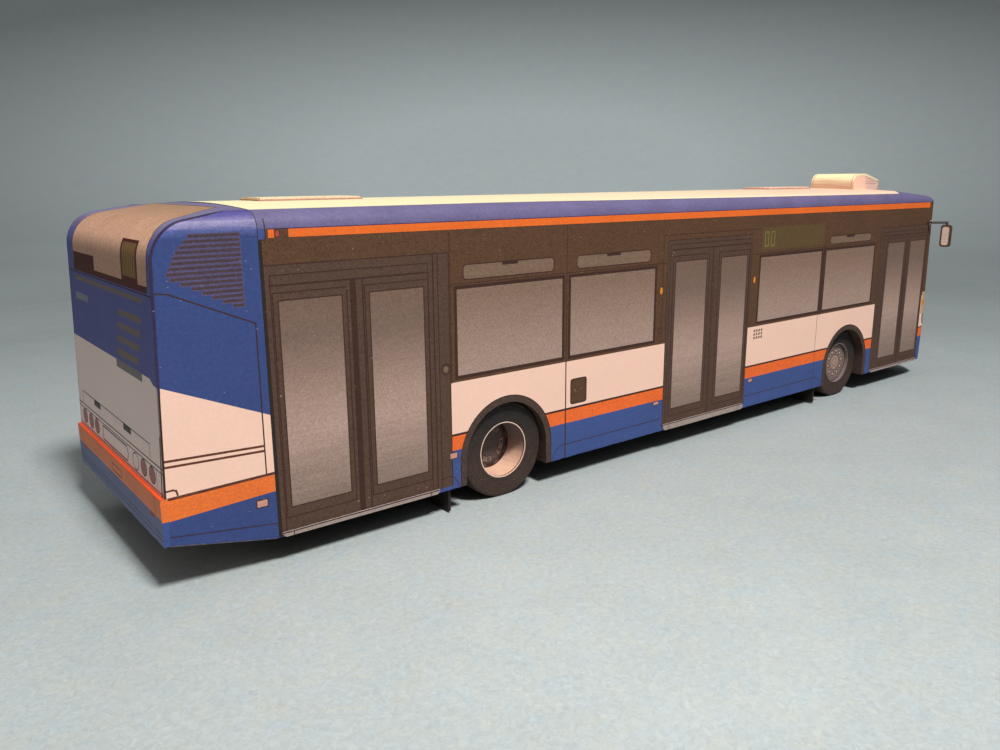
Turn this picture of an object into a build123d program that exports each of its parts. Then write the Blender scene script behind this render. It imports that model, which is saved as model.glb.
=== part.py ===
"""A city bus built from printed card at a scale of 1 to 87, on two turning axles."""
from build123d import *
import os

os.makedirs("parts", exist_ok=True)

# All sizes are in millimetres. +X points to the front, +Y to the left, +Z up.
# The origin lies on the ground under the middle of the model.

# Card stock and fits
card = 0.3                # thickness of the printed card
strip = 0.2               # thinner card of the glued-on strips
running_gap = 0.06        # radial play of an axle in its rolled sleeve
tyre_gap = 0.2            # radial play of a tyre in its wheel well
well_gap = 0.4            # play between a rear tyre and the inner wall of its well

# Layout along the bus
wheelbase = 69.2
rear_overhang = 36.95
front_overhang = 29.0
rear_section = 26.9       # from the rear axle back to the seam of the rear section
front_section = 13.4      # from the front axle forward to the seam of the front dome
side_front = 23.9         # from the front axle forward to the front edge of the sides

length = rear_overhang + wheelbase + front_overhang
rear_axle_x = rear_overhang - length / 2
front_axle_x = rear_axle_x + wheelbase
rear_seam_x = rear_axle_x - rear_section
dome_seam_x = front_axle_x + front_section
side_front_x = front_axle_x + side_front
nose_x = length / 2

# Cross-section
width = 29.3
half_width = width / 2
skirt_height = 2.8        # bottom edge of the side walls above the ground
stripe_height = 30.6      # top of the upper stripe, where the side starts to curve in
cove_radius = 1.7
roof_crown = 0.45         # rise of the roof over its middle
roof_height = stripe_height + cove_radius + roof_crown
roof_half = half_width - cove_radius

# Rear section
tail_lift = 2.0           # the skirt rises by this much towards the tail
ledge_depth = 0.2         # how far the rear bumper stands behind the rear wall
rear_lean = 1.05          # the rear wall leans forward by this much up to the roof line
rear_shoulder_drop = 1.5  # the roof line falls by this much towards the rear corner
rear_radius = 3.4
bumper_top = 9.0
bumper_bottom = 4.6

# Front section
nose_z = 9.0              # height of the foremost line of the nose
nose_tuck = 0.9           # the nose runs back by this much down to its lower edge
sill_tuck = 0.6           # and back by this much up to the windscreen
windscreen_z = 13.5
windscreen_lean = 1.5
dome_drop = 1.35
dome_radius = 2.6
nose_bow = 0.9            # bow of the nose across its width
corner_radius = 4.3

# Wheels
tyre_radius = 5.4
front_tyre_width = 3.4
rear_tyre_width = 5.8
rear_wheel_inset = 0.8    # outer face of a tyre inside the outer face of the side
front_wheel_inset = 1.25
rim_radius = 3.2
rim_card = 0.15
rim_taper = 6             # degrees by which a dished rim narrows inwards
glue_gap = 0.02           # radial play where a rim is glued into its tyre
rear_rim_depth = 2.7
front_rim_depth = 0.5
hub_cap_radius = 1.5
hub_cap_height = 0.45
axle_radius = 1.0
sleeve_wall = 0.4

# Floor and wheel wells
floor_z = 3.3             # underside of the floor
well_radius = tyre_radius + tyre_gap
well_depth = rear_wheel_inset + rear_tyre_width + well_gap
arch_card = 0.6           # two layers of card make the rim of an arch
flap_height = 3.1
flap_width = 4.6
flap_gap = 1.4            # from a wheel well back to its mud flap
flap_inset = 0.5          # outer edge of a flap inside the outer face of the side

# Pieces on the roof
hatch_length = 11.7
hatch_width = 5.4
hatch_thickness = 0.3
hatch_corner = 0.4
rear_hatch_behind = 21.6  # rear edge of the rear hatch behind the rear axle
front_hatch_behind = 5.6  # rear edge of the front hatch behind the front axle
unit_length = 8.2
unit_width = 7.6
unit_height = 2.35
unit_offset = -4.6        # the roof unit sits to the right of the middle
unit_ahead = 9.0          # rear face of the roof unit ahead of the front axle
unit_flat = 0.45          # share of the unit's length that stays level
unit_lip = 1.0            # height of the front edge of its slope above the roof
unit_radius = 1.7         # the rounded upper edge of its back

# Door sills on the right side: length, and where the rear end of each lies
sill_height = 0.45
ramp_height = 0.8
ramp_chamfer = 0.3
rear_door_length = 17.4
middle_door_length = 16.8
front_door_length = 15.6
rear_door_x = rear_axle_x - 26.6
middle_door_x = (rear_axle_x + front_axle_x) / 2 - 9.0
front_door_x = front_axle_x + 8.0

# Mirrors
mirror_z = 26.9           # height of the arm
mirror_reach = 2.4        # from the side out to the middle of the head
arm_radius = 0.2
mirror_head = (1.7, 3.7)  # width and height of a head
mirror_layers = 0.5       # thickness of the card layers that make a head
mirror_corner = 0.4
mirror_behind = 4.0       # the heads hang this far behind the nose
mirror_step = 0.7         # straight run of wire out of the side
mirror_drop = 0.4         # straight run of wire down into the head


def side_profile(inset):
    """Side view of the body, moved inwards by inset. The two roof corners are rounded."""
    tail_x = -length / 2 + ledge_depth
    screen_x = nose_x - sill_tuck
    rear_corner = (tail_x + rear_lean, roof_height - rear_shoulder_drop)
    front_corner = (screen_x - windscreen_lean, roof_height - dome_drop)
    with BuildSketch() as profile:
        with BuildLine():
            Polyline(
                (tail_x, skirt_height + tail_lift),
                rear_corner,
                (rear_seam_x, roof_height),
                (dome_seam_x, roof_height),
                front_corner,
                (screen_x, windscreen_z),
                (nose_x, nose_z),
                (nose_x - nose_tuck, skirt_height),
                (rear_seam_x, skirt_height),
                close=True,
            )
        make_face()
        if inset:
            offset(amount=-inset, kind=Kind.INTERSECTION)
        for corner, radius in ((rear_corner, rear_radius), (front_corner, dome_radius)):
            fillet(profile.vertices().sort_by_distance(corner)[0], radius - inset)
    return profile.sketch


def cross_section(inset):
    """The body seen from behind: flat sides, a cove at each shoulder and a crowned roof."""
    half = half_width - inset
    cove = cove_radius - inset
    top = roof_height - inset
    shoulder = stripe_height + cove
    with BuildSketch() as section:
        with BuildLine():
            ThreePointArc((-roof_half, shoulder), (0, top), (roof_half, shoulder))
            RadiusArc((roof_half, shoulder), (half, stripe_height), cove)
            Polyline((half, stripe_height), (half, 0), (-half, 0), (-half, stripe_height))
            RadiusArc((-half, stripe_height), (-roof_half, shoulder), cove)
        make_face()
    return section.sketch


def plan_view(inset, setback=0):
    """The body seen from above: a square tail and a bowed nose with round corners."""
    half = half_width - inset
    tail_x = -length / 2 + ledge_depth + inset
    tip_x = nose_x - inset - setback
    with BuildSketch() as plan:
        with BuildLine():
            ThreePointArc((tip_x - nose_bow, -half), (tip_x, 0), (tip_x - nose_bow, half))
            Polyline((tip_x - nose_bow, half), (tail_x, half), (tail_x, -half),
                     (tip_x - nose_bow, -half))
        make_face()
        fillet(plan.vertices().sort_by(Axis.X)[-2:], corner_radius - inset)
    return plan.sketch


def body_solid(inset):
    """The whole body as one block: what its side view, section and plan have in common."""
    with BuildPart() as block:
        with BuildSketch(Plane.XZ):
            add(side_profile(inset))
        extrude(amount=half_width, both=True)
        with BuildSketch(Plane.YZ):
            add(cross_section(inset))
        extrude(amount=length, both=True, mode=Mode.INTERSECT)
        with BuildSketch():
            add(plan_view(inset))
        extrude(amount=2 * roof_height, mode=Mode.INTERSECT)
    return block.part


def arch_shape(radius):
    """Outline of a wheel arch around the origin, open towards the ground."""
    with BuildSketch() as arch:
        Circle(radius)
        Rectangle(2 * radius, 2 * tyre_radius, align=(Align.CENTER, Align.MAX))
    return arch.sketch


def finish(piece, name):
    """Label a finished piece and write it to its own file."""
    piece.part.label = name
    export_step(piece.part, f"parts/{name}.step")


def cut_out(whole, *regions):
    """The part of a whole that lies in any of the regions, each given by its x, y and z range."""
    with BuildPart() as kept:
        for x_range, y_range, z_range in regions:
            with BuildSketch(Plane.XY.offset(z_range[0])):
                with Locations(((x_range[0] + x_range[1]) / 2, (y_range[0] + y_range[1]) / 2)):
                    Rectangle(x_range[1] - x_range[0], y_range[1] - y_range[0])
            extrude(amount=z_range[1] - z_range[0])
        add(whole, mode=Mode.INTERSECT)
    return kept.part


def wall_x(height):
    """Where the outer face of the leaning rear wall lies at a height."""
    foot = skirt_height + tail_lift
    rise = roof_height - rear_shoulder_drop - foot
    return -length / 2 + ledge_depth + rear_lean * (height - foot) / rise


outer_body = body_solid(0)
inner_body = body_solid(card)
well_outer = well_radius + arch_card
inner_half = half_width - card

# The printed card skin, one sheet thick and open underneath
with BuildPart() as shell:
    add(outer_body)
    add(inner_body, mode=Mode.SUBTRACT)
    with BuildSketch():
        add(plan_view(card, nose_tuck))
    extrude(amount=skirt_height + card, mode=Mode.SUBTRACT)

# Side walls: one sheet from the skirt up through the cove to the roof seam
for side, name in ((-1, "right_side"), (1, "left_side")):
    y_flat = sorted((side * inner_half, side * half_width))
    y_cove = sorted((side * roof_half, side * half_width))
    with BuildPart() as side_wall:
        add(cut_out(
            shell.part,
            ((rear_seam_x, dome_seam_x), y_cove, (0, roof_height)),
            ((dome_seam_x, side_front_x), y_flat, (0, stripe_height)),
        ))
        for axle_x in (rear_axle_x, front_axle_x):
            with BuildSketch(Plane.XZ.offset(-side * half_width)):
                with Locations((axle_x, tyre_radius)):
                    add(arch_shape(well_outer + glue_gap))
            extrude(amount=side * card, mode=Mode.SUBTRACT)
    finish(side_wall, name)

# Rear section: a quarter panel on each side, and one sheet from the bumper up over the corner
for side, name in ((-1, "right_quarter"), (1, "left_quarter")):
    y_range = sorted((side * inner_half, side * half_width))
    with BuildPart() as quarter:
        add(cut_out(shell.part, ((-length, rear_seam_x), y_range, (0, roof_height))))
    finish(quarter, name)

with BuildPart() as rear_cap:
    add(cut_out(shell.part, ((-length, rear_seam_x), (-inner_half, inner_half), (0, roof_height))))
finish(rear_cap, "rear_cap")

with BuildPart() as roof:
    add(cut_out(shell.part, ((rear_seam_x, dome_seam_x), (-roof_half, roof_half),
                             (stripe_height, roof_height))))
finish(roof, "roof")

# Front: one moulded-looking cap, the nose with its corners and the dome behind it
with BuildPart() as front_cap:
    add(cut_out(
        shell.part,
        ((side_front_x, length), (-half_width, half_width), (0, roof_height)),
        ((dome_seam_x, side_front_x), (-half_width, half_width), (stripe_height, roof_height)),
    ))
finish(front_cap, "front_cap")

# Rear bumper: a strip folded into a narrow ledge and a face
with BuildPart() as rear_bumper:
    with BuildSketch(Plane.XZ):
        with BuildLine():
            Polyline(
                (-length / 2, bumper_bottom),
                (-length / 2, bumper_top),
                (wall_x(bumper_top), bumper_top),
                (wall_x(bumper_top - card), bumper_top - card),
                (-length / 2 + strip, bumper_top - card),
                (-length / 2 + strip, bumper_bottom),
                close=True,
            )
        make_face()
    extrude(amount=half_width, both=True)
finish(rear_bumper, "rear_bumper")

# Floor: one sheet, folded up along the tail and notched round the wheel wells
floor_tail_x = -length / 2 + ledge_depth + rear_lean
with BuildPart() as floor_sheet:
    with BuildSketch(Plane.XZ):
        with BuildLine():
            Polyline(
                (floor_tail_x, floor_z + tail_lift),
                (rear_seam_x, floor_z),
                (nose_x, floor_z),
                (nose_x, floor_z + card),
                (rear_seam_x, floor_z + card),
                (floor_tail_x, floor_z + tail_lift + card),
                close=True,
            )
        make_face()
    extrude(amount=half_width, both=True)
    add(inner_body, mode=Mode.INTERSECT)
    for axle_x in (rear_axle_x, front_axle_x):
        for side in (-1, 1):
            with BuildSketch(Plane.XY):
                with Locations((axle_x, side * (half_width - (well_depth + card) / 2))):
                    Rectangle(2 * well_outer, well_depth + card)
            extrude(amount=floor_z + 2 * card, mode=Mode.SUBTRACT)
finish(floor_sheet, "floor")

# Wheel wells: a strip bent round the arch, closed by a wall that the axle passes through
for axle_name, axle_x in (("rear", rear_axle_x), ("front", front_axle_x)):
    for side, side_name in ((-1, "right"), (1, "left")):
        outer_face = Plane.XZ.offset(-side * half_width)
        with BuildPart() as well:
            with BuildSketch(outer_face):
                with Locations((axle_x, tyre_radius)):
                    add(arch_shape(well_outer))
            extrude(amount=side * (well_depth + card))
            with BuildSketch(outer_face):
                with Locations((axle_x, tyre_radius)):
                    add(arch_shape(well_radius))
            extrude(amount=side * well_depth, mode=Mode.SUBTRACT)
            with BuildSketch(outer_face):
                with Locations((axle_x, tyre_radius)):
                    Circle(axle_radius + running_gap)
            extrude(amount=side * (well_depth + 2 * card), mode=Mode.SUBTRACT)
            with BuildSketch(Plane.XY.offset(skirt_height)):
                with Locations((axle_x, 0)):
                    Rectangle(3 * well_outer, width)
            extrude(amount=-3 * tyre_radius, mode=Mode.SUBTRACT)
        finish(well, f"{axle_name}_{side_name}_wheel_well")

        # Mud flap: a small tab that hangs from the floor behind the wheel
        with BuildPart() as flap:
            with BuildSketch(Plane.XY.offset(floor_z)):
                with Locations((axle_x - well_outer - flap_gap,
                                side * (half_width - flap_inset - flap_width / 2))):
                    Rectangle(card, flap_width)
            extrude(amount=-flap_height)
        finish(flap, f"{axle_name}_{side_name}_mud_flap")

    # Axle sleeve: rolled card between the inner walls of the two wells
    with BuildPart() as sleeve:
        with BuildSketch(Plane.XZ):
            with Locations((axle_x, tyre_radius)):
                Circle(axle_radius + running_gap + sleeve_wall)
                Circle(axle_radius + running_gap, mode=Mode.SUBTRACT)
        extrude(amount=half_width - well_depth - card, both=True)
    finish(sleeve, f"{axle_name}_axle_sleeve")

# Wheels: per axle a dowel, and at each end a laminated tyre, a dished rim and its hub disc
for axle_name, axle_x, wheel_inset, tyre_width, rim_depth in (
    ("rear", rear_axle_x, rear_wheel_inset, rear_tyre_width, rear_rim_depth),
    ("front", front_axle_x, front_wheel_inset, front_tyre_width, front_rim_depth),
):
    tyre_face = half_width - wheel_inset
    hub_back = tyre_face - rim_depth - card
    with BuildPart() as axle:
        with BuildSketch(Plane.XZ):
            with Locations((axle_x, tyre_radius)):
                Circle(axle_radius)
        extrude(amount=hub_back, both=True)
    finish(axle, f"{axle_name}_axle")

    for side, side_name in ((-1, "right"), (1, "left")):
        face_plane = Plane(origin=(axle_x, side * tyre_face, tyre_radius), x_dir=(1, 0, 0),
                           z_dir=(0, side, 0))
        hub_plane = face_plane.offset(-rim_depth)
        with BuildPart() as tyre:
            with BuildSketch(face_plane):
                Circle(tyre_radius)
                Circle(rim_radius, mode=Mode.SUBTRACT)
            extrude(amount=-tyre_width)
        finish(tyre, f"{axle_name}_{side_name}_tyre")

        with BuildPart() as rim:
            with BuildSketch(face_plane):
                Circle(rim_radius - glue_gap)
            extrude(amount=-rim_depth)
            with BuildSketch(face_plane):
                Circle(rim_radius - rim_card)
            extrude(amount=-rim_depth, taper=rim_taper, mode=Mode.SUBTRACT)
        finish(rim, f"{axle_name}_{side_name}_rim")

        with BuildPart() as hub:
            with BuildSketch(hub_plane):
                Circle(rim_radius - glue_gap)
            extrude(amount=-card)
            with BuildSketch(hub_plane):
                Circle(hub_cap_radius)
            extrude(amount=hub_cap_height)
        finish(hub, f"{axle_name}_{side_name}_hub")

# Roof hatches: two flat covers laid on the crown
for hatch_x, name in (
    (rear_axle_x - rear_hatch_behind + hatch_length / 2, "rear_hatch"),
    (front_axle_x - front_hatch_behind + hatch_length / 2, "front_hatch"),
):
    with BuildPart() as hatch:
        with BuildSketch(Plane.XY.offset(roof_height - roof_crown)):
            with Locations((hatch_x, 0)):
                RectangleRounded(hatch_length, hatch_width, hatch_corner)
        extrude(amount=roof_crown + hatch_thickness)
        add(outer_body, mode=Mode.SUBTRACT)
    finish(hatch, name)

# Roof unit: a box with a rounded back and a sloping front
unit_x = front_axle_x + unit_ahead
with BuildPart() as roof_unit:
    with BuildSketch(Plane.XZ.offset(-unit_offset)) as unit_profile:
        with BuildLine():
            Polyline(
                (unit_x, stripe_height),
                (unit_x, roof_height + unit_height),
                (unit_x + unit_length * unit_flat, roof_height + unit_height),
                (unit_x + unit_length, roof_height + unit_lip),
                (unit_x + unit_length, stripe_height),
                close=True,
            )
        make_face()
        fillet(unit_profile.vertices().sort_by_distance((unit_x, roof_height + unit_height))[0],
               unit_radius)
    extrude(amount=unit_width / 2, both=True)
    add(outer_body, mode=Mode.SUBTRACT)
finish(roof_unit, "roof_unit")

# Door sills: narrow strips along the foot of each door, the middle one a taller ramp
sill_face = Plane.XZ.offset(half_width)
for door_x, sill_length, height, name in (
    (rear_door_x, rear_door_length, sill_height, "rear_door_sill"),
    (middle_door_x, middle_door_length, ramp_height, "middle_door_ramp"),
    (front_door_x, front_door_length, sill_height, "front_door_sill"),
):
    with BuildPart() as sill:
        with BuildSketch(sill_face) as sill_outline:
            with Locations((door_x + sill_length / 2, skirt_height)):
                Rectangle(sill_length, height, align=(Align.CENTER, Align.MIN))
            chamfer(sill_outline.vertices().group_by(Axis.Y)[0], ramp_chamfer)
        extrude(amount=strip)
    finish(sill, name)

# Mirrors: a wire arm from each front corner of the sides and a head that hangs from it
arm_x = side_front_x - mirror_step
head_x = nose_x - mirror_behind
for side, side_name in ((-1, "right"), (1, "left")):
    head_y = side * (half_width + mirror_reach)
    with BuildPart() as arm:
        with BuildLine() as route:
            Polyline(
                (arm_x, side * half_width, mirror_z),
                (arm_x, side * (half_width + mirror_step), mirror_z),
                (head_x, head_y, mirror_z),
                (head_x, head_y, mirror_z - mirror_drop),
            )
        with BuildSketch(Plane(route.line @ 0, z_dir=(0, side, 0))):
            Circle(arm_radius)
        sweep(transition=Transition.RIGHT)
    finish(arm, f"{side_name}_mirror_arm")

    with BuildPart() as head:
        with BuildSketch(Plane.YZ.offset(head_x)):
            with Locations((head_y, mirror_z - mirror_drop)):
                RectangleRounded(*mirror_head, mirror_corner, align=(Align.CENTER, Align.MAX))
        extrude(amount=mirror_layers / 2, both=True)
    finish(head, f"{side_name}_mirror_head")
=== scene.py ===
import functools
import math

import bpy
import numpy as np
from mathutils import Matrix, Vector
from mathutils.geometry import delaunay_2d_cdt


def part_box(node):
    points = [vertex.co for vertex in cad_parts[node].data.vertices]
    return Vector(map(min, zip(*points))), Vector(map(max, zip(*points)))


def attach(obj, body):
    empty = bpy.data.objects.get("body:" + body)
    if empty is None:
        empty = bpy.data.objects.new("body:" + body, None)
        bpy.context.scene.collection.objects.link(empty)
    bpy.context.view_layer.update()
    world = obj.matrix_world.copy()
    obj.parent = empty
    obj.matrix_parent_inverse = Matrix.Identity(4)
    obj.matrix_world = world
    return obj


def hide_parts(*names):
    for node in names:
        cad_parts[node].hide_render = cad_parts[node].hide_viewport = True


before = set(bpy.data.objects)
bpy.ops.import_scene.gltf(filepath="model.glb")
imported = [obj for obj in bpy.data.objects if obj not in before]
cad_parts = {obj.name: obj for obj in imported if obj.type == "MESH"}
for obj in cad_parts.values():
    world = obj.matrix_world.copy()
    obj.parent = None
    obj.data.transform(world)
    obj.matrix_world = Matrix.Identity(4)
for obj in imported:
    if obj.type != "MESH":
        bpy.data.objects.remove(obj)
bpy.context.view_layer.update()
print("frame loaded:", len(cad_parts), "nodes")

# Sizes below are in millimetres. A sheet is drawn flat, as it was printed, and then bent into place.


def cornersOf(nodeName):
    return [np.array(corner) * 1000 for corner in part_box(nodeName)]


sideLow, sideHigh = cornersOf("right_side")
capLow = cornersOf("rear_cap")[0]
roofLow, roofHigh = cornersOf("roof")
bumperLow, bumperHigh = cornersOf("rear_bumper")
axleX = {name: np.mean([c[0] for c in cornersOf(f"{name}_axle")]) for name in ("rear", "front")}
axleZ = np.mean([c[2] for c in cornersOf("rear_axle")])
archLow, archHigh = cornersOf("rear_right_wheel_well")

card = 0.3  # thickness of the printed card
strip = 0.2  # thickness of the thinner card of bumper and sills
half = -sideLow[1]
skirtZ, roofZ = sideLow[2], roofHigh[2]
rearSeam, domeSeam = roofLow[0], roofHigh[0]
noseSide, noseTip = sideHigh[0], cornersOf("front_cap")[1][0]
archRadius = (archHigh[0] - archLow[0]) / 2
printZero = axleX["rear"] - 0.4  # the side prints are measured forwards from this line
shape = {
    "stripe": 30.6, "cove": 1.7,  # where the sides start to curve in, and by what radius
    "crown": 0.45,  # fall of the roof from its middle line to the cove
    "tailLift": 2.0, "wallLean": 1.05,  # foot of the rear wall above the skirt, and the lean of the wall
    "shoulderDrop": 1.5, "rearRadius": 3.4,  # fall of the roof line to the rear corner, and its rounding
    "domeDrop": 1.35, "noseBow": 0.9, "cornerRadius": 4.3,
}


def putInScene(name, data):
    made = bpy.data.objects.new(name, data)
    bpy.context.scene.collection.objects.link(made)
    return made


def linear(colour):
    # an sRGB hex colour turned to linear light
    parts = [int(colour[i:i + 2], 16) / 255 for i in (1, 3, 5)]
    return tuple(c / 12.92 if c <= 0.04045 else ((c + 0.055) / 1.055) ** 2.4 for c in parts) + (1.0,)


def node(tree, kind, inputs=None, out=0, **settings):
    # makes a shader node and gives back one of its outputs, or the node itself where out is None
    made = tree.nodes.new("ShaderNode" + kind)
    for key, value in settings.items():
        setattr(made, key, value)
    for key, value in (inputs or {}).items():
        if isinstance(value, bpy.types.NodeSocket):
            tree.links.new(value, made.inputs[key])
        else:
            made.inputs[key].default_value = value
    return made if out is None else made.outputs[out]


def newMaterial(name):
    # an empty material, the call that adds nodes to it, and the place on the piece in metres and in mm
    made = bpy.data.materials.new(name)
    made.use_nodes = True
    made.node_tree.nodes.clear()
    add = functools.partial(node, made.node_tree)
    place = add("TexCoord", out="Object")
    return made, add, place, add("Mapping", {"Vector": place, "Scale": (1000, 1000, 1000)})


def noise(add, vector, scale, detail, rough=0.5, bend=0.0, out=0):
    return add("TexNoise", {"Vector": vector, "Scale": scale, "Detail": detail, "Roughness": rough,
                            "Distortion": bend}, out)


def between(add, value, low, high, start=0.0, end=1.0):
    # start where the value is low or less, end where it is high or more, and a straight run between them
    return add("MapRange", {"Value": value, "From Min": low, "From Max": high, "To Min": start,
                            "To Max": end})


def maths(add, operation, *values):
    return add("Math", dict(enumerate(values)), operation=operation)


def ramped(add, place, stops):
    made = add("ValToRGB", {"Fac": place}, out=None)
    elements = made.color_ramp.elements
    while len(elements) < len(stops):
        elements.new(0.5)
    for element, (position, colour) in zip(elements, stops):
        element.position = position
        element.color = linear(colour)
    return made.outputs["Color"]


def unevenness(add, *patterns):
    # a brightness near 1 that goes up and down with each pattern, by that pattern's amount
    value = 1.0
    for pattern, amount in patterns:
        centred = maths(add, "SUBTRACT", pattern, 0.5)
        value = maths(add, "MULTIPLY_ADD", centred, 2 * amount, value)
    return value


cardStock = {
    "fibrePerMm": 2.4,     # paper fibres, drawn a little coarser than real ones so that they show
    "cloudPerMm": 0.22,    # slow unevenness of the ink
    "dotPerMm": 8.5,       # ink dots, coarser than the printer's own
    "rowPerMm": 4.2,       # passes of the print head
    "fleckPerMm": 1.5,     # cells that may hold the white end of a fibre
    "fleckInk": "#D9C3B4",
    "driftPerMm": 1.3,
    "drift": 0.7,          # how far, in mm, the flecks bend
}


# how tones run from low to high, each as (axis, from, to, stops)
fades = {
    "doorGlass": ("Z", 5.4, 24.6, [(0.03, "#8C7569"), (0.24, "#A58A7D"), (0.37, "#B29487"), (0.5, "#A88B7C"),
                                   (0.65, "#92776A"), (0.81, "#7B6357"), (0.97, "#765D4F")]),
    "windowGlass": ("Z", 14.9, 23.9, [(0.0, "#A98D80"), (0.23, "#A48879"), (0.45, "#9A7F70"),
                                      (0.68, "#917566"), (0.9, "#866B5B")]),
    # rearGlass: its brightest stop, at 0.6, is a painted highlight where the glass turns over towards the
    # roof
    "rearGlass": ("Z", 26.0, 32.6, [(0.0, "#C79A80"), (0.3, "#C99B82"), (0.6, "#E9B495"), (0.85, "#AE8262"),
                                    (1.0, "#96714F")]),
    # shoulder: blue below, pale lilac across the fold and darker above it: a painted highlight on the bend of
    # the quarter
    "shoulder": ("Z", 30.0, 32.4, [(0.0, "#37487D"), (0.3, "#545E96"), (0.55, "#8F86AC"), (0.8, "#5B5590"),
                                   (1.0, "#40397A")]),
    "roof": ("X", -57.0, 50.0, [(0.0, "#EEE4B4"), (0.5, "#F1DDB8"), (0.85, "#F2CFB2"), (1.0, "#F2CDB1")]),
    "unit": ("Z", 32.4, 35.1, [(0.0, "#D4A88A"), (0.35, "#E3B697"), (0.7, "#FDEBBB"), (1.0, "#FEF3BE")]),
    # tyre: browner low down and darker towards the top: painted shade under the wheel arch
    "tyre": ("Z", 0.5, 10.4, [(0.0, "#46352D"), (0.45, "#3F302A"), (0.75, "#2C2624"), (1.0, "#221F1F")]),
    # dish: pale at the foot of the rim's inner wall and dark towards its top: painted shade in the upper part
    # of the dish
    "dish": ("Z", 2.2, 8.6, [(0.0, "#EFC0A2"), (0.25, "#D9AC92"), (0.5, "#8C756B"), (0.75, "#6A5D5A"),
                             (1.0, "#5B504E")]),
}


def whiteFlecks(add, inMm, amount, often):
    # where the white ends of short fibres show through the ink; a cell holds one if its number is above often
    drift = noise(add, inMm, cardStock["driftPerMm"], 1.0, out="Color")
    bent = add("VectorMath", {0: drift, 1: (cardStock["drift"],) * 3, 2: inMm}, operation="MULTIPLY_ADD")
    slim = add("Mapping", {"Vector": bent, "Rotation": (0.4, 0.7, 0.2), "Scale": (0.8, 1.0, 2.2)})
    strands = add("TexVoronoi", {"Vector": slim, "Scale": cardStock["fleckPerMm"]}, out=None)
    near = between(add, strands.outputs["Distance"], 0.05, 0.15, 1.0, 0.0)
    pick = add("SeparateColor", {"Color": strands.outputs["Color"]})
    fleck = maths(add, "MULTIPLY", near, maths(add, "GREATER_THAN", pick, often))
    return maths(add, "MULTIPLY", fleck, amount)


def printedCard(name, ink, cloud=0.10, dots=0.13, rows=0.06, flecks=0.5, fibre=0.10, rough=0.62,
                fade=None, along="z", relief=0.012, often=0.86, streak=2.5):
    # Matt inkjet card: the ink soaks in, so it is flat and a little uneven, with fibre ends that stay white.
    # fade names a run of tones, and streak says how far, in mm, the printer's passes shift it
    made, add, place, inMm = newMaterial(name)
    fibres = noise(add, inMm, cardStock["fibrePerMm"], 5.0, 0.68, 0.6)
    clouds = noise(add, inMm, cardStock["cloudPerMm"], 3.0)
    cells = add("TexVoronoi", {"Vector": inMm, "Scale": cardStock["dotPerMm"]}, out="Color")
    grain = add("SeparateColor", {"Color": cells})
    squeeze = {"z": (40, 40, 1000), "y": (40, 1000, 40)}[along]
    bands = noise(add, add("Mapping", {"Vector": place, "Scale": squeeze}), cardStock["rowPerMm"], 2.0)
    colour = linear(ink)[:3]
    if fade:
        axis, low, high, stops = fades[fade]
        height = add("SeparateXYZ", {"Vector": place}, out=axis)
        wobble = maths(add, "MULTIPLY_ADD", maths(add, "SUBTRACT", bands, 0.5), streak / 1000, height)
        colour = ramped(add, between(add, wobble, low / 1000, high / 1000), stops)
    value = unevenness(add, (clouds, cloud), (grain, dots), (bands, rows), (fibres, fibre))
    base = add("VectorMath", {0: colour, "Scale": value}, operation="SCALE")
    if flecks:
        share = whiteFlecks(add, inMm, flecks, often)
        base = add("Mix", {0: share, 6: base, 7: linear(cardStock["fleckInk"])}, out=2, data_type="RGBA")
    raised = add("Bump", {"Height": fibres, "Distance": relief / 1000, "Strength": 0.8})
    skin = add("BsdfPrincipled", {"Base Color": base, "Roughness": rough, "IOR": 1.45,
                                  "Specular IOR Level": 0.35, "Normal": raised})
    add("OutputMaterial", {"Surface": skin}, out=None)
    return made


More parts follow.
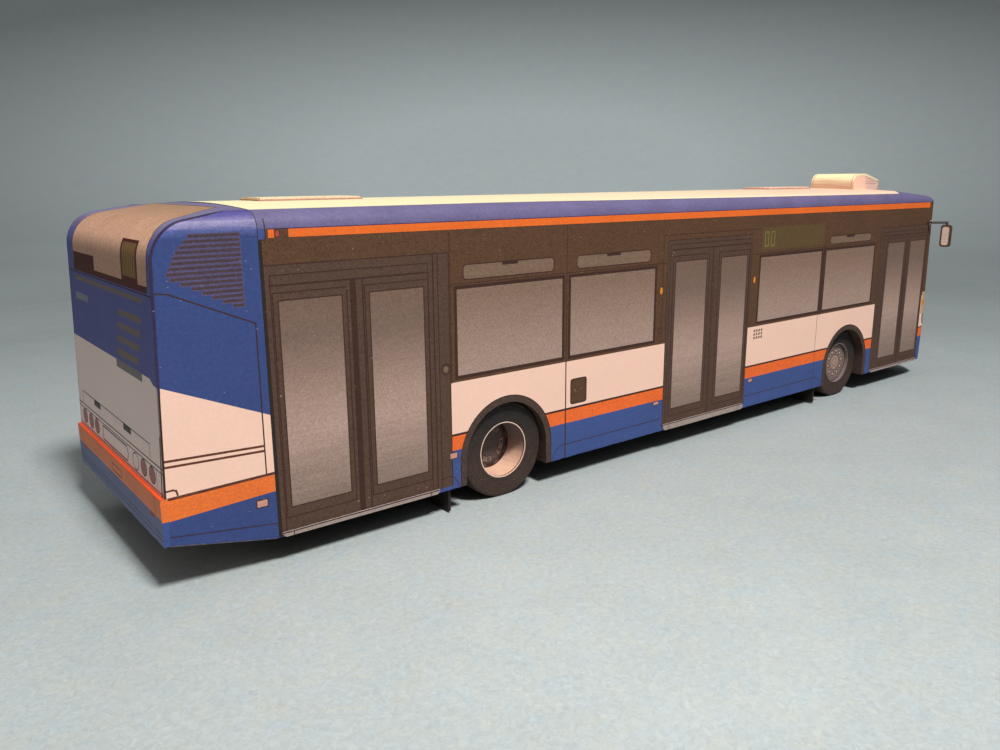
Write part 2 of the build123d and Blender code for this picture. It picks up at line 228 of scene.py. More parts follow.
# groups of settings that several inks share
bare = dict(cloud=0.03, dots=0.02, rows=0.012, flecks=0.0, fibre=0.045)
bareRoof = dict(cloud=0.03, dots=0.02, rows=0.0, flecks=0.0, fibre=0.04)
glossy = dict(flecks=0.3, cloud=0.25, rough=0.44, relief=0.03)
glass = dict(rows=0.1, cloud=0.04, fibre=0.06)
few = dict(flecks=0.2)
fewer = dict(flecks=0.1)
none = dict(flecks=0.0)
cardInks = {
    "whiteCard": ("#FACDB7", bare),
    # the rear wall's white card, written lighter and cooler than whiteCard: painted fill light on that wall
    "rearWhiteCard": ("#FCE0D6", bare),
    "roofCard": ("#F0E9B8", dict(bareRoof, fade="roof")),
    "unitCard": ("#F4DDB0", dict(bareRoof, fade="unit")),
    "blueInk": ("#3E5289", dict(cloud=0.11, dots=0.12, flecks=0.3)),
    "quarterBlueInk": ("#37487D", dict(cloud=0.11, dots=0.12, flecks=0.4, often=0.82)),
    "rearBlueInk": ("#5B5E98", dict(cloud=0.13, dots=0.12, flecks=0.3)),
    "bumperBlueInk": ("#70769B", dict(cloud=0.13, dots=0.12, flecks=0.3)),
    # the quarter's shoulder, with a painted highlight across its fold
    "shoulderInk": ("#50598F", dict(glossy, fibre=0.3, fade="shoulder", streak=0.9)),
    "coveBlueInk": ("#6C6388", dict(glossy, fibre=0.26, dots=0.10)),
    "orangeInk": ("#EF6B2C", dict(flecks=0.15, dots=0.12)),
    "stripeInk": ("#EB6C26", dict(few, dots=0.08)),
    "brownBlackInk": ("#5A3D29", dict(dots=0.26, rows=0.12, fibre=0.14, flecks=0.45, often=0.82)),
    "frameInk": ("#543D31", dict(dots=0.24, rows=0.10, often=0.84)),
    "lineInk": ("#3F251D", dict(few, dots=0.2)),
    "brownLine": ("#613421", dict(none, dots=0.3, cloud=0.2)),
    "doorGlassInk": ("#9A8376", dict(glass, dots=0.16, fade="doorGlass")),
    "windowGlassInk": ("#9A8072", dict(glass, dots=0.18, fade="windowGlass")),
    # rear glass, with a painted highlight in a band near the top
    "rearGlassInk": ("#A08672", dict(few, rows=0.08, dots=0.16, cloud=0.07, along="y", relief=0.02,
                                     fade="rearGlass")),
    "hopperInk": ("#7C6250", dict(rows=0.12, dots=0.2, fibre=0.06)),
    "oliveInk": ("#7C6C60", few),
    "displayInk": ("#5E482B", few),
    "rearBlackInk": ("#51180E", dict(few, dots=0.2, cloud=0.15)),
    "rearDisplayInk": ("#7A5C38", dict(few, cloud=0.2, fibre=0.3)),
    "rearFigureInk": ("#A07636", dict(fewer, cloud=0.3)),
    "figureInk": ("#7C6E34", dict(fewer, cloud=0.3)),
    "greyInk": ("#857B76", few),
    "tagInk": ("#8A8A95", few),
    "redInk": ("#B2453A", few),
    "roseInk": ("#BF8C7F", fewer),
    "ovalInk": ("#B0756B", dict(fewer, dots=0.25)),
    "amberInk": ("#E08A2C", fewer),
    "lampInk": ("#CD9483", none),
    "ochreLamp": ("#C4A078", dict(none, dots=0.1)),
    "grilleInk": ("#49393F", dict(flecks=0.3, dots=0.2)),
    "grilleBlueInk": ("#564D70", dict(flecks=0.3, dots=0.2)),
    "violetMarker": ("#332A4C", dict(cloud=0.35, fibre=0.45, often=0.45)),
    "orangeFelt": ("#F8581A", dict(none, cloud=0.16, dots=0.06, rough=0.5)),
    "feltSide": ("#EC7431", dict(none, cloud=0.16, dots=0.10)),
    "bumperOrangeInk": ("#F08A5A", dict(none, cloud=0.12, dots=0.10)),
    "drumInk": ("#35211E", dict(none, dots=0.2, fibre=0.3)),
    "seamEdge": ("#5E4038", dict(none, cloud=0.3, fibre=0.4, dots=0.3)),
    "paleEdge": ("#F4CDB0", dict(none, cloud=0.15, fibre=0.3, dots=0.1)),
    "cutEdge": ("#A08E8A", dict(none, cloud=0.2, fibre=0.5, dots=0.3)),
    "blackCard": ("#2A211D", dict(few, dots=0.2)),
    "archCard": ("#4B3931", dict(flecks=0.3, dots=0.3, fibre=0.4, cloud=0.2)),
    # tyre card, darker towards the top as painted shade from the arch
    "tyreInk": ("#3D312C", dict(flecks=0.3, dots=0.3, cloud=0.25, fibre=0.35, rough=0.75,
                                fade="tyre")),
    "tyreLine": ("#322622", dict(fewer, dots=0.2, cloud=0.2)),
    "tyreEdge": ("#3B2C26", dict(flecks=0.3, fibre=0.5, cloud=0.3, relief=0.04)),
    "rimCard": ("#DDB8A2", dict(none, dots=0.06)),
    # inner wall of the rim, with painted shade on its upper part
    "dishCard": ("#DDB8A2", dict(none, dots=0.06, fade="dish")),
    "rimLine": ("#7C5444", dict(none, dots=0.25)),
    "hubShade": ("#5A504D", dict(none, dots=0.14, fibre=0.2)),
    "hubPale": ("#AB8C7D", dict(none, dots=0.12, fibre=0.2)),
    "hubGrey": ("#83716B", dict(none, dots=0.12, fibre=0.2)),
    "sillInk": ("#A5938A", dict(flecks=0.3, dots=0.12)),
    "mirrorFace": ("#F2CFBC", none),
    "wireInk": ("#4A403C", dict(none, rough=0.4, fibre=0.02, relief=0.002)),
    "dowelWood": ("#C9A77E", dict(none, fibre=0.3, along="y", rows=0.25)),
}
inks = {name: printedCard(name, colour, **settings) for name, (colour, settings) in cardInks.items()}
print("materials ready:", len(inks))


def rect(u0, v0, u1, v1):
    return np.array([(u0, v0), (u1, v0), (u1, v1), (u0, v1)], float)


def roundRect(u0, v0, u1, v1, radius, steps=5):
    # quarter circles of one radius around the four inner corners
    turn = np.linspace(0, math.pi / 2, steps)
    arcs = []
    for quarter, (u, v) in enumerate(((u1 - radius, v1 - radius), (u0 + radius, v1 - radius),
                                      (u0 + radius, v0 + radius), (u1 - radius, v0 + radius))):
        angle = turn + quarter * math.pi / 2
        arcs.append(np.stack((u + radius * np.cos(angle), v + radius * np.sin(angle)), 1))
    return np.concatenate(arcs)


def oval(u, v, ru, rv=None, steps=28):
    angle = np.arange(steps) * 2 * math.pi / steps
    return np.stack((u + ru * np.cos(angle), v + (rv or ru) * np.sin(angle)), 1)


def sector(u, v, inner, outer, start, end, steps=40):
    # the area between two arcs, angles in degrees
    angle = np.radians(np.linspace(start, end, steps))
    ring = np.stack((np.cos(angle), np.sin(angle)), 1)
    return np.concatenate((ring * outer, ring[::-1] * inner)) + (u, v)


def lines(path, width=0.1, ink="lineInk", closed=False):
    # each run of a path as a thin rectangle, lengthened by half its width so that the corners close
    points = [np.array(p, float) for p in path]
    if closed:
        points.append(points[0])
    art = []
    for a, b in zip(points[:-1], points[1:]):
        way = (b - a) / np.linalg.norm(b - a) * width / 2
        across = np.array((-way[1], way[0]))
        art.append((ink, np.array((a - way - across, b + way - across, b + way + across, a - way + across))))
    return art


def upright(u, v0, v1, width=0.1, ink="lineInk"):
    return lines([(u, v0), (u, v1)], width, ink)


def level(v, u0, u1, width=0.1, ink="lineInk"):
    return lines([(u0, v), (u1, v)], width, ink)


def ringed(u, v, outer, inner, ink, rim="lineInk"):
    # an oval in a darker rim; outer and inner are each a radius, or one along and one up
    return [(tone, oval(u, v, *np.atleast_1d(size))) for tone, size in ((rim, outer), (ink, inner))]


def framed(u0, v0, u1, v1, rim, ink):
    return [("lineInk", rect(u0 - rim, v0 - rim, u1 + rim, v1 + rim)), (ink, rect(u0, v0, u1, v1))]


def makeMesh(name, points, faces, slots, materialList, sharpAngle=32):
    mesh = bpy.data.meshes.new(name)
    mesh.from_pydata((points / 1000).tolist(), [], [list(f) for f in faces])
    for key in materialList:
        mesh.materials.append(inks[key])
    mesh.polygons.foreach_set("material_index", np.asarray(slots, dtype=np.int32))
    mesh.polygons.foreach_set("use_smooth", np.ones(len(faces), dtype=bool))
    mesh.set_sharp_from_angle(angle=math.radians(sharpAngle))
    mesh.update()
    return putInScene(name, mesh)


def flatten(outline, prints, cutsU, cutsV):
    # The print is cut into triangles along every outline in it, and each takes the ink that lies on top.
    points, faces, edges = [], [], []
    for loop in [outline] + [loop for _, loop in prints]:
        turned = loop[:, 0] @ np.roll(loop[:, 1], -1) - loop[:, 1] @ np.roll(loop[:, 0], -1)
        ordered = loop if turned > 0 else loop[::-1]
        faces.append(list(range(len(points), len(points) + len(ordered))))
        points.extend(ordered.tolist())
    low, high = outline.min(0) - 1, outline.max(0) + 1
    cuts = [((u, low[1]), (u, high[1])) for u in cutsU] + [((low[0], v), (high[0], v)) for v in cutsV]
    for cut in cuts:
        edges.append((len(points), len(points) + 1))
        points.extend(cut)
    flat, _, triangles, _, _, owners = delaunay_2d_cdt([Vector(p) for p in points], edges, faces, 1, 1e-5)
    kept = [(t, max(o)) for t, o in zip(triangles, owners) if 0 in o]
    return np.array([tuple(p) for p in flat]), np.array([t for t, _ in kept]), np.array([o for _, o in kept])


def unitLong(vectors):
    return vectors / np.maximum(np.linalg.norm(vectors, axis=1, keepdims=True), 1e-12)


def innerFace(space, triangles, thickness):
    # one thickness further in along the mean normal of the faces around each point
    a, b, c = (space[triangles[:, k]] for k in range(3))
    normal = np.cross(b - a, c - a)
    total = np.zeros_like(space)
    for corner in range(3):
        np.add.at(total, triangles[:, corner], normal)
    unit, faceUnit = unitLong(total), unitLong(normal)
    lean = np.ones(len(space))
    for corner in range(3):
        np.minimum.at(lean, triangles[:, corner], (faceUnit * unit[triangles[:, corner]]).sum(1))
    return space - unit * (thickness / np.clip(lean, 0.5, 1))[:, None]


def printedSheet(name, nodes, baseInk, outline, prints, bend, edgeInk="cutEdge", cutsU=(), cutsV=(),
                 thickness=card, flip=False, body="bus_body", marked=None):
    # marked = (height, ink): above that height the cut edge is coloured with that ink
    flat, triangles, owner = flatten(outline, prints, cutsU, cutsV)
    space = bend(flat[:, 0], flat[:, 1])
    _, first, same = np.unique(np.round(space, 5), axis=0, return_index=True, return_inverse=True)
    space, triangles = space[first], same.reshape(-1)[triangles]
    a, b, c = triangles.T
    good = (a != b) & (b != c) & (a != c)
    used, triangles = np.unique(triangles[good], return_inverse=True)
    space, triangles, owner = space[used], triangles.reshape(-1, 3), owner[good]
    if flip:
        triangles = triangles[:, ::-1]
    markFrom, markInk = marked or (1000, edgeInk)
    keys = [baseInk] + sorted({ink for ink, _ in prints} - {baseInk}) + [edgeInk, markInk]
    edgeSlot, markSlot = len(keys) - 2, len(keys) - 1
    inkOf = np.array([0] + [keys.index(ink) for ink, _ in prints])
    inner = innerFace(space, triangles, thickness)
    edges = np.concatenate((triangles[:, :2], triangles[:, 1:], triangles[:, (2, 0)]))
    codes = np.sort(edges, axis=1) @ (len(space), 1)
    _, where, count = np.unique(codes, return_index=True, return_counts=True)
    rim = edges[where[count == 1]]
    shift = len(space)
    faces = triangles.tolist() + (triangles[:, ::-1] + shift).tolist()
    faces += np.stack((rim[:, 1], rim[:, 0], rim[:, 0] + shift, rim[:, 1] + shift), 1).tolist()
    rimSlots = np.where(space[rim[:, 0], 2] > markFrom, markSlot, edgeSlot)
    slots = np.concatenate((inkOf[owner], np.full(len(triangles), edgeSlot), rimSlots))
    made = makeMesh(name, np.concatenate((space, inner)), faces, slots, keys)
    finishPiece(made, nodes, body)


def finishPiece(made, nodes, body="bus_body"):
    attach(made, body)
    if nodes:
        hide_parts(*nodes)


def lathe(name, nodes, body, centre, side, profile, bandInks, steps=96):
    # A closed profile of (radius, depth) points turned about the axle; depth runs inwards from the face.
    radius, depth = np.array(profile, float).T
    angle = np.arange(steps) * 2 * math.pi / steps
    x = centre[0] + radius[None, :] * np.cos(angle)[:, None]
    z = centre[2] + radius[None, :] * np.sin(angle)[:, None]
    y = np.broadcast_to(side * (abs(centre[1]) - depth)[None, :], x.shape)
    count = len(profile)
    ring, spot = np.meshgrid(np.arange(steps), np.arange(count), indexing="ij")
    after, along = (ring + 1) % steps, (spot + 1) % count
    quads = np.stack((ring * count + spot, after * count + spot, after * count + along,
                      ring * count + along), -1).reshape(-1, 4)
    if side > 0:
        quads = quads[:, ::-1]
    keys = sorted(set(bandInks))
    slots = np.tile([keys.index(ink) for ink in bandInks], steps)
    made = makeMesh(name, np.stack((x, y, z), -1).reshape(-1, 3), quads.tolist(), slots, keys)
    finishPiece(made, nodes, body)


def sideBend(side):
    # flat up to the stripe, then a quarter circle inwards to the roof seam
    def bend(u, v):
        angle = np.clip((v - shape["stripe"]) / shape["cove"], 0, math.pi / 2)
        y = side * (half - shape["cove"] * (1 - np.cos(angle)))
        z = np.where(v < shape["stripe"], v, shape["stripe"] + shape["cove"] * np.sin(angle))
        return np.stack((printZero + u, y, z), 1)
    return bend


def flatBend(axis, place):
    # a sheet that stays flat, at one place along an axis; its other two axes are those of the drawing
    def bend(u, v):
        columns = [u, v]
        columns.insert(axis, np.full_like(u, place))
        return np.stack(columns, 1)
    return bend


def roundedCorner(start, corner, end, radius, steps=17):
    # a straight run, an arc of the given radius at the corner, and a second straight run
    start, corner, end = (np.array(p, float) for p in (start, corner, end))
    back, ahead = start - corner, end - corner
    back, ahead = back / np.linalg.norm(back), ahead / np.linalg.norm(ahead)
    opening = math.acos(float(back @ ahead)) / 2
    middle = corner + (back + ahead) / np.linalg.norm(back + ahead) * radius / math.sin(opening)
    first = corner + back * radius / math.tan(opening) - middle
    last = corner + ahead * radius / math.tan(opening) - middle
    turn = np.linspace(0, math.pi - 2 * opening, steps)
    sign = math.copysign(1, first[0] * last[1] - first[1] * last[0])
    arc = np.stack((middle[0] + first[0] * np.cos(turn) - sign * first[1] * np.sin(turn),
                    middle[1] + sign * first[0] * np.sin(turn) + first[1] * np.cos(turn)), 1)
    return np.concatenate(([start], arc, [end]))


def runAlong(line):
    return np.concatenate(([0], np.cumsum(np.linalg.norm(np.diff(line, axis=0), axis=1))))


footZ = skirtZ + shape["tailLift"]
wallFoot = np.array((capLow[0], footZ))
wallCorner = np.array((wallFoot[0] + shape["wallLean"], roofZ - shape["shoulderDrop"]))
tailProfile = roundedCorner(wallFoot, wallCorner, (rearSeam, roofZ), shape["rearRadius"])
tailRun = runAlong(tailProfile) + footZ


def coveRise(z):
    # how far up the cove a height is, from 0 at the stripe to 1 at the roof seam
    return np.clip((z - shape["stripe"]) / shape["cove"], 0, 1)


def sectionTop(y):
    # height of the crowned roof at a distance from the middle
    seam = half - shape["cove"]
    return roofZ - shape["crown"] * np.minimum(np.abs(y) / seam, 1) ** 2


def softMin(a, b, blend=0.12):
    return (a + b - np.sqrt((a - b) ** 2 + blend * blend)) / 2


def tailBend(h, v):
    # v runs up the rear wall, round the large corner and along the roof; h is the distance to the right
    x = np.interp(v, tailRun, tailProfile[:, 0])
    z = np.interp(v, tailRun, tailProfile[:, 1])
    crownFrom = 31.5
    return np.stack((x, -h, np.where(z > crownFrom, softMin(z, sectionTop(h)), z)), 1)


def tailHalf(v):
    # half the width of the rear sheet: full on the wall, then along the cove down to the roof seam
    z = np.interp(v, tailRun, tailProfile[:, 1])
    return half - shape["cove"] * (1 - np.sqrt(1 - coveRise(z) ** 2))


def frayed(start, end, depth, step=0.22, seed=1):
    # a cut edge: the straight line with small uneven steps across it
    start, end = np.array(start, float), np.array(end, float)
    length = np.linalg.norm(end - start)
    share = np.linspace(0, 1, max(int(length / step), 2) + 1)
    across = np.array((-(end - start)[1], (end - start)[0])) / length
    uneven = np.random.default_rng(seed).normal(0, depth, len(share))
    uneven[[0, -1]] = 0
    return start + share[:, None] * (end - start) + uneven[:, None] * across


bands = {
    "waist": 14.31, "orangeTop": 8.55, "orangeLow": 7.0, "orangeLine": 8.8,
    "stripeTop": 30.66, "stripeLow": 29.94, "topFall": 0.0032, "lowFall": 0.0045, "bandFrom": -24.0,
}
sideEnds = {"rear": rearSeam - printZero, "dome": domeSeam - printZero, "front": noseSide - printZero}
rearArch, frontArch = axleX["rear"] - printZero, axleX["front"] - printZero
coveRun = shape["stripe"] + shape["cove"] * math.pi / 2


def stripeEdges(u):
    past = u - bands["bandFrom"]
    return bands["stripeLow"] - bands["lowFall"] * past, bands["stripeTop"] - bands["topFall"] * past


def stripe(u0, u1):
    (low0, top0), (low1, top1) = stripeEdges(u0), stripeEdges(u1)
    return [("stripeInk", np.array([(u0, low0), (u1, low1), (u1, top1), (u0, top0)]))]


def foldLine(u0, u1):
    # the dark line just above the stripe, where the print of the cove begins
    return lines([(u, stripeEdges(u)[1] + 0.03) for u in (u0, u1)], 0.08, "violetMarker")


def livery(u0, u1):
    # white card with the blue skirt, the orange line, the dark window band and the blue cove
    high = shape["stripe"] + 4
    top0, top1 = stripeEdges(u0)[1], stripeEdges(u1)[1]
    return [
        ("blueInk", rect(u0, 0, u1, bands["orangeLow"])),
        ("orangeInk", rect(u0, bands["orangeLow"], u1, bands["orangeTop"])),
        ("lineInk", rect(u0, bands["orangeTop"], u1, bands["orangeLine"])),
        ("brownBlackInk", rect(u0, bands["waist"], u1, shape["stripe"] + 0.2)),
        ("coveBlueInk", np.array([(u0, top0), (u1, top1), (u1, high), (u0, high)])),
    ]


def roofOverlap():
    # the white roof paper reaches down over the cove, further towards the front
    u = np.array([-26.0, -3.0, 15.0, 43.0, 68.0, sideEnds["dome"]])
    angle = np.radians([90.0, 89.0, 70.0, 57.0, 50.0, 47.0])
    edge = np.stack((u, shape["stripe"] + shape["cove"] * angle), 1)
    art = [("roofCard", np.concatenate((edge, [(u[-1], coveRun + 1), (u[0], coveRun + 1)])))]
    for run in zip(edge[1:-1], edge[2:]):
        art += lines(run, 0.07, "violetMarker")
    return art


def windowPane(u0, u1, v0=14.95, v1=23.88):
    return framed(u0, v0, u1, v1, 0.36, "windowGlassInk")


def hopper(u0, u1, notch, v1=26.2, v0=24.85):
    # a sliding pane with its catch, notch = where that starts and ends
    return [("lineInk", roundRect(u0 - 0.12, v0 - 0.12, u1 + 0.12, v1 + 0.12, 0.42)),
            ("hopperInk", roundRect(u0, v0, u1, v1, 0.35)),
            ("lineInk", rect(notch[0], v1 - 0.28, notch[1], v1 + 0.12))]


def flap(u, v, width, height, rim, ink):
    return [("lineInk", roundRect(u, v, u + width, v + height, 0.35)),
            (ink, roundRect(u + rim, v + rim, u + width - rim, v + height - rim, 0.25))]


def leafDoor(glass, frames, seals, leafTop=25.86, glassLow=5.5, glassTop=24.45, bottom=3.2):
    # outer frames as fine lines, the dark leaf, two panes in dark surrounds and the rubber seal between them
    art = [("frameInk", rect(frames[0][0], bottom, frames[0][1], frames[0][2]))]
    for start, end, top in frames:
        art += lines([(start, bottom), (start, top), (end, top), (end, bottom)], 0.11)
    art += level(leafTop, glass[0][0] - 0.8, glass[-1][1] + 0.6, 0.17)
    for a, b in glass:
        art += lines(rect(a - 0.55, glassLow - 1.0, b + 0.55, glassTop + 0.75), 0.12, closed=True)
        art += framed(a, glassLow, b, glassTop, 0.12, "doorGlassInk")
    return art + [("lineInk", rect(u - width / 2, bottom, u + width / 2, leafTop)) for u, width in seals]


def archLip(u):
    art = []
    for grow, ink in ((0.2, "lineInk"), (0.08, "archCard")):
        outer, inner = archRadius + grow, archRadius - 0.05
        art += [(ink, sector(u, axleZ, inner, outer, 0, 180)),
                (ink, rect(u - outer, 0, u - inner, axleZ)), (ink, rect(u + inner, 0, u + outer, axleZ))]
    return art


def skirtLine(u0, u1, curveStart=True, curveEnd=True):
    # the fine line along the skirt, turning down to its lower edge where it meets an arch
    high = 4.45
    turn = [(0.0, 2.9), (0.28, 3.6), (0.8, 4.15), (1.5, high)]
    path = [(u0 + a, b) for a, b in turn] if curveStart else [(u0, high)]
    path += [(u1 - a, b) for a, b in turn[::-1]] if curveEnd else [(u1, high)]
    return lines(path)


def smallLamp(u0, u1, v0, v1):
    return framed(u0, v0, u1, v1, 0.1, "lampInk")


def archCut(u):
    angle = np.radians(np.linspace(180, 0, 49))
    ring = np.stack((u + archRadius * np.cos(angle), axleZ + archRadius * np.sin(angle)), 1)
    return np.concatenate(([(u - archRadius, skirtZ)], ring, [(u + archRadius, skirtZ)]))


def sideOutline():
    rear, front = archCut(rearArch), archCut(frontArch)
    ends = [(sideEnds["rear"], skirtZ), (sideEnds["front"], skirtZ)]
    skirt = [frayed(ends[0], rear[0], 0.02, seed=2)[:-1], rear,
             frayed(rear[-1], front[0], 0.02, seed=3)[1:-1], front,
             frayed(front[-1], ends[1], 0.02, seed=4)[1:]]
    upper = [(sideEnds["front"], shape["stripe"]), (sideEnds["dome"], shape["stripe"]),
             (sideEnds["dome"], coveRun), (sideEnds["rear"], coveRun)]
    return np.concatenate(skirt + [upper])


def figures(u, step, v0, v1, width):
    # two plain noughts on a route display
    art = []
    for start in (u, u + step):
        art += lines(rect(start, v0, start + width, v1), 0.2, "figureInk", True)
    return art


coveCuts = list(shape["stripe"] + shape["cove"] * math.pi / 2 * np.linspace(0, 1, 11)[:-1])
lengthCuts = list(np.arange(-20, 93, 10.0))
liveryEnds = (-28, 95)


def rightSide():
    art = livery(*liveryEnds) + stripe(-25.55, -25.0) + stripe(-23.7, 93.0) + roofOverlap()
    art += foldLine(-25.65, 94.5)
    art += ringed(-24.72, 30.28, (0.26, 0.36), (0.19, 0.29), "redInk")
    art += [("blueInk", rect(-28, 29.8, -25.8, 30.75))]
    art += lines([(-26.5, 29.8), (-25.8, 29.8), (-25.8, 31.6)]) + upright(-26.5, 29.8, 32.6, 0.14)
    # rear door with its button
    art += leafDoor([(-25.0, -18.95), (-16.0, -10.1)], [(-26.2, -7.06, 27.62), (-25.7, -9.5, 26.75)],
                    [(-17.75, 0.62), (-16.75, 0.16)])
    art += upright(-8.93, 3.1, 27.5, 0.16) + upright(-8.38, 3.1, 27.5, 0.12)
    art += upright(-26.33, 29.6, 2.8, 0.34, "blackCard") + upright(-6.9, 14.3, 29.6)
    art += ringed(-7.61, 15.86, 0.62, 0.46, "frameInk") + [("hopperInk", oval(-7.61, 15.86, 0.3))]
    # middle door
    art += leafDoor([(27.5, 33.5), (36.6, 42.1)], [(25.9, 43.1, 27.15), (26.4, 42.8, 26.6)],
                    [(34.75, 0.16), (35.05, 0.1)], leafTop=25.95, glassTop=24.4)
    art += lines([(25.1, 14.4), (25.1, 27.8), (45.1, 27.8)])
    # front door
    art += leafDoor([(80.1, 85.4), (87.5, 92.6)], [(77.5, 93.3, 26.6), (78.4, 93.2, 25.8)], [(86.35, 0.3)],
                    leafTop=25.2, glassLow=4.9, glassTop=24.0)
    # windows and the sliding panes above them
    for pane in ((-6.1, 8.3), (9.6, 23.6), (45.3, 60.4), (61.7, 75.6)):
        art += windowPane(*pane)
    art += hopper(-5.2, 6.95, (-0.26, 1.9), 26.25) + hopper(10.55, 22.65, (15.2, 17.5))
    art += hopper(62.6, 74.2, (67.0, 69.3), 25.9, 24.84)
    art += level(24.42, -6.7, 25.6) + level(24.42, 43.3, 76.6)
    art += upright(8.96, 14.4, 29.6) + upright(61.05, 14.5, 24.4, 0.4)
    # route display
    art += [("displayInk", rect(45.3, 24.85, 60.7, 27.95))] + figures(46.0, 1.4, 25.4, 27.3, 0.75)
    # amber repeaters and a button
    art += ringed(24.88, 21.04, (0.36, 0.58), (0.24, 0.46), "amberInk")
    art += ringed(44.04, 20.89, (0.36, 0.58), (0.24, 0.46), "amberInk")
    art += ringed(24.88, 16.02, 0.42, 0.28, "frameInk")
    # flap in the white band, panel seams, a vent of twelve slots and skirt details
    art += flap(9.68, 9.1, 2.62, 3.05, 0.16, "brownBlackInk")
    art += [("hopperInk", oval(10.45, 10.7, 0.16, steps=10))]
    art += upright(8.96, 2.8, 14.4, 0.17) + upright(60.56, 2.8, 14.4, 0.08)
    for k in range(12):
        u, v = 44.6 + 0.56 * (k % 4), 12.5 + 0.5 * (k // 4)
        art += [("hopperInk", rect(u, v, u + 0.38, v + 0.34))]
    for place in ((-7.3, -6.42, 6.2, 6.75), (24.15, 25.1, 6.5, 6.85), (44.1, 44.9, 6.4, 6.8)):
        art += smallLamp(*place)
    art += lines([(-8.5, 4.2), (-7.6, 4.35), (-6.9, 4.1), (-6.4, 3.5), (-6.2, 2.9)])
    art += skirtLine(6.9, 25.5, True, False) + skirtLine(43.4, 62.9, False, True)
    art += archLip(rearArch) + archLip(frontArch)
    printedSheet("rightSide", ["right_side"], "whiteCard", sideOutline(), art, sideBend(-1),
                 cutsU=lengthCuts, cutsV=coveCuts)


def leftSide():
    # windows all along and no doors
    art = livery(*liveryEnds) + stripe(-22.9, 93.0) + roofOverlap() + foldLine(-25.0, 94.5)
    for start, end in ((-25.2, -10.6), (-9.3, 5.6), (6.9, 21.8), (23.1, 38.0), (39.3, 54.2), (55.5, 70.4)):
        middle = (start + end) / 2
        art += windowPane(start, end) + hopper(start + 1, end - 1, (middle - 1.1, middle + 1.1))
    art += windowPane(72.0, 80.6, v0=13.4) + windowPane(81.8, 91.6, v0=12.2, v1=24.6)
    art += upright(86.7, 12.2, 24.6, 0.3)
    for u in (-10.0, 22.45, 54.85):
        art += upright(u, 2.8, 29.4)
    for u in (-14.5, 27.0, 49.0):
        art += flap(u, 9.1, 3.4, 3.1, 0.14, "whiteCard")
    for u in (-15.0, 15.0, 40.0):
        art += smallLamp(u, u + 0.9, 6.2, 6.75)
    art += skirtLine(-26.3, -6.1, False, True) + skirtLine(6.9, 62.9) + skirtLine(76.1, 93.3, True, False)
    art += archLip(rearArch) + archLip(frontArch)
    printedSheet("leftSide", ["left_side"], "whiteCard", sideOutline(), art, sideBend(1),
                 cutsU=lengthCuts, cutsV=coveCuts, flip=True)


rightSide()
leftSide()
print("sides printed")

quarterArt = {
    "back": -37, "front": -26.0, "reach": 0.06,  # how near the sheet comes to the face of the rear wall
    "grilleTop": 30.6, "grilleLow": 24.7, "ribs": 15, "grilleFront": -27.97,
    "grilleBack": [(30.75, -32.2), (29.5, -33.4), (27.4, -34.4), (24.4, -28.5)],
    "markFrom": 18.0, "violetFrom": 18.8,
}


def quarterOutline():
    # the quarters reach almost to the face of the rear sheet and cover its cut edge
    way = np.gradient(tailProfile, tailRun, axis=0)
    way /= np.linalg.norm(way, axis=1, keepdims=True)
    inner = tailProfile + np.stack((way[:, 1], -way[:, 0]), 1) * quarterArt["reach"]
    xs = np.concatenate((inner[1:-1, 0], np.linspace(inner[-2, 0], rearSeam, 9)[1:]))
    zs = np.interp(xs, inner[:, 0], inner[:, 1])
    run = np.where(zs < shape["stripe"], zs, shape["stripe"] + shape["cove"] * np.arcsin(coveRise(zs)))
    foot = frayed((wallFoot[0] + quarterArt["reach"] - printZero, footZ), (sideEnds["rear"], skirtZ), 0.03,
                  seed=5)
    return np.concatenate((foot, np.stack((xs - printZero, run), 1)[::-1]))


def seamMarks():
    # the touched-up line along the seam with the rear sheet: brown beside the white, violet above
    edge = quarterOutline()
    edge = np.concatenate((edge[edge[:, 1] > 28][::-1][:-1][::-1], edge[:1]))[::-1]
    rows = np.linspace(9.0, 28.0, 20)
    wall = np.stack((np.interp(rows, edge[:2, 1], edge[:2, 0]), rows), 1)
    path = np.concatenate((wall, edge[1:])) + (0.05, -0.02)
    art = []
    for start, end in zip(path[:-1], path[1:]):
        brown = end[1] < quarterArt["violetFrom"]
        art += lines([start, end], 0.17 if brown else 0.2, "drumInk" if brown else "violetMarker")
    return art


def quarterPrints():
    back, front = quarterArt["back"], quarterArt["front"]
    art = [
        ("quarterBlueInk", rect(-40, 0, -25, 7.6)),
        ("whiteCard", np.array([(back, 7.0), (front, 7.0), (front, 14.3), (-36.1, 18.6), (back, 18.9)])),
        # the shoulder of the quarter carries a painted highlight across its fold
        ("shoulderInk", rect(-40, 30.2, -25, 36)),
        ("feltSide", np.array([(back, 6.85), (front, 7.4), (front, 8.95), (back, 8.75)])),
        ("quarterBlueInk", np.array([(back, 4), (front, 4), (front, 7.4), (back, 6.85)])),
    ]
    heights, backs = np.array(quarterArt["grilleBack"]).T
    ribEnd = quarterArt["grilleFront"]
    for row in np.linspace(quarterArt["grilleTop"], quarterArt["grilleLow"], quarterArt["ribs"]):
        ribStart = np.interp(-row, -heights, backs)
        art += [("grilleBlueInk", rect(ribStart, row - 0.42, ribEnd, row)),
                ("grilleInk", rect(ribStart + 0.08, row - 0.33, ribEnd - 0.08, row - 0.09))]
    art += lines([(-35.9, 26.1), (-34.3, 25.9), (-27.2, 22.8), (-27.25, 9.0)], 0.13)
    for path, width in (([(-36.3, 12.19), (-27.3, 11.8)], 0.21), ([(-36.3, 11.68), (-27.3, 11.34)], 0.21),
                        ([(-36.3, 9.58), (-35.4, 9.6), (-35.15, 9.5), (-35.05, 9.13)], 0.17)):
        art += lines(path, width, "brownLine")
    art += smallLamp(-28.3, -27.35, 6.2, 6.8) + lines([(-36.3, 5.54), (-26.6, 4.25)])
    return art + lines([(-36.4, 8.86), (-26.6, 9.08)], 0.26, "brownLine") + seamMarks()


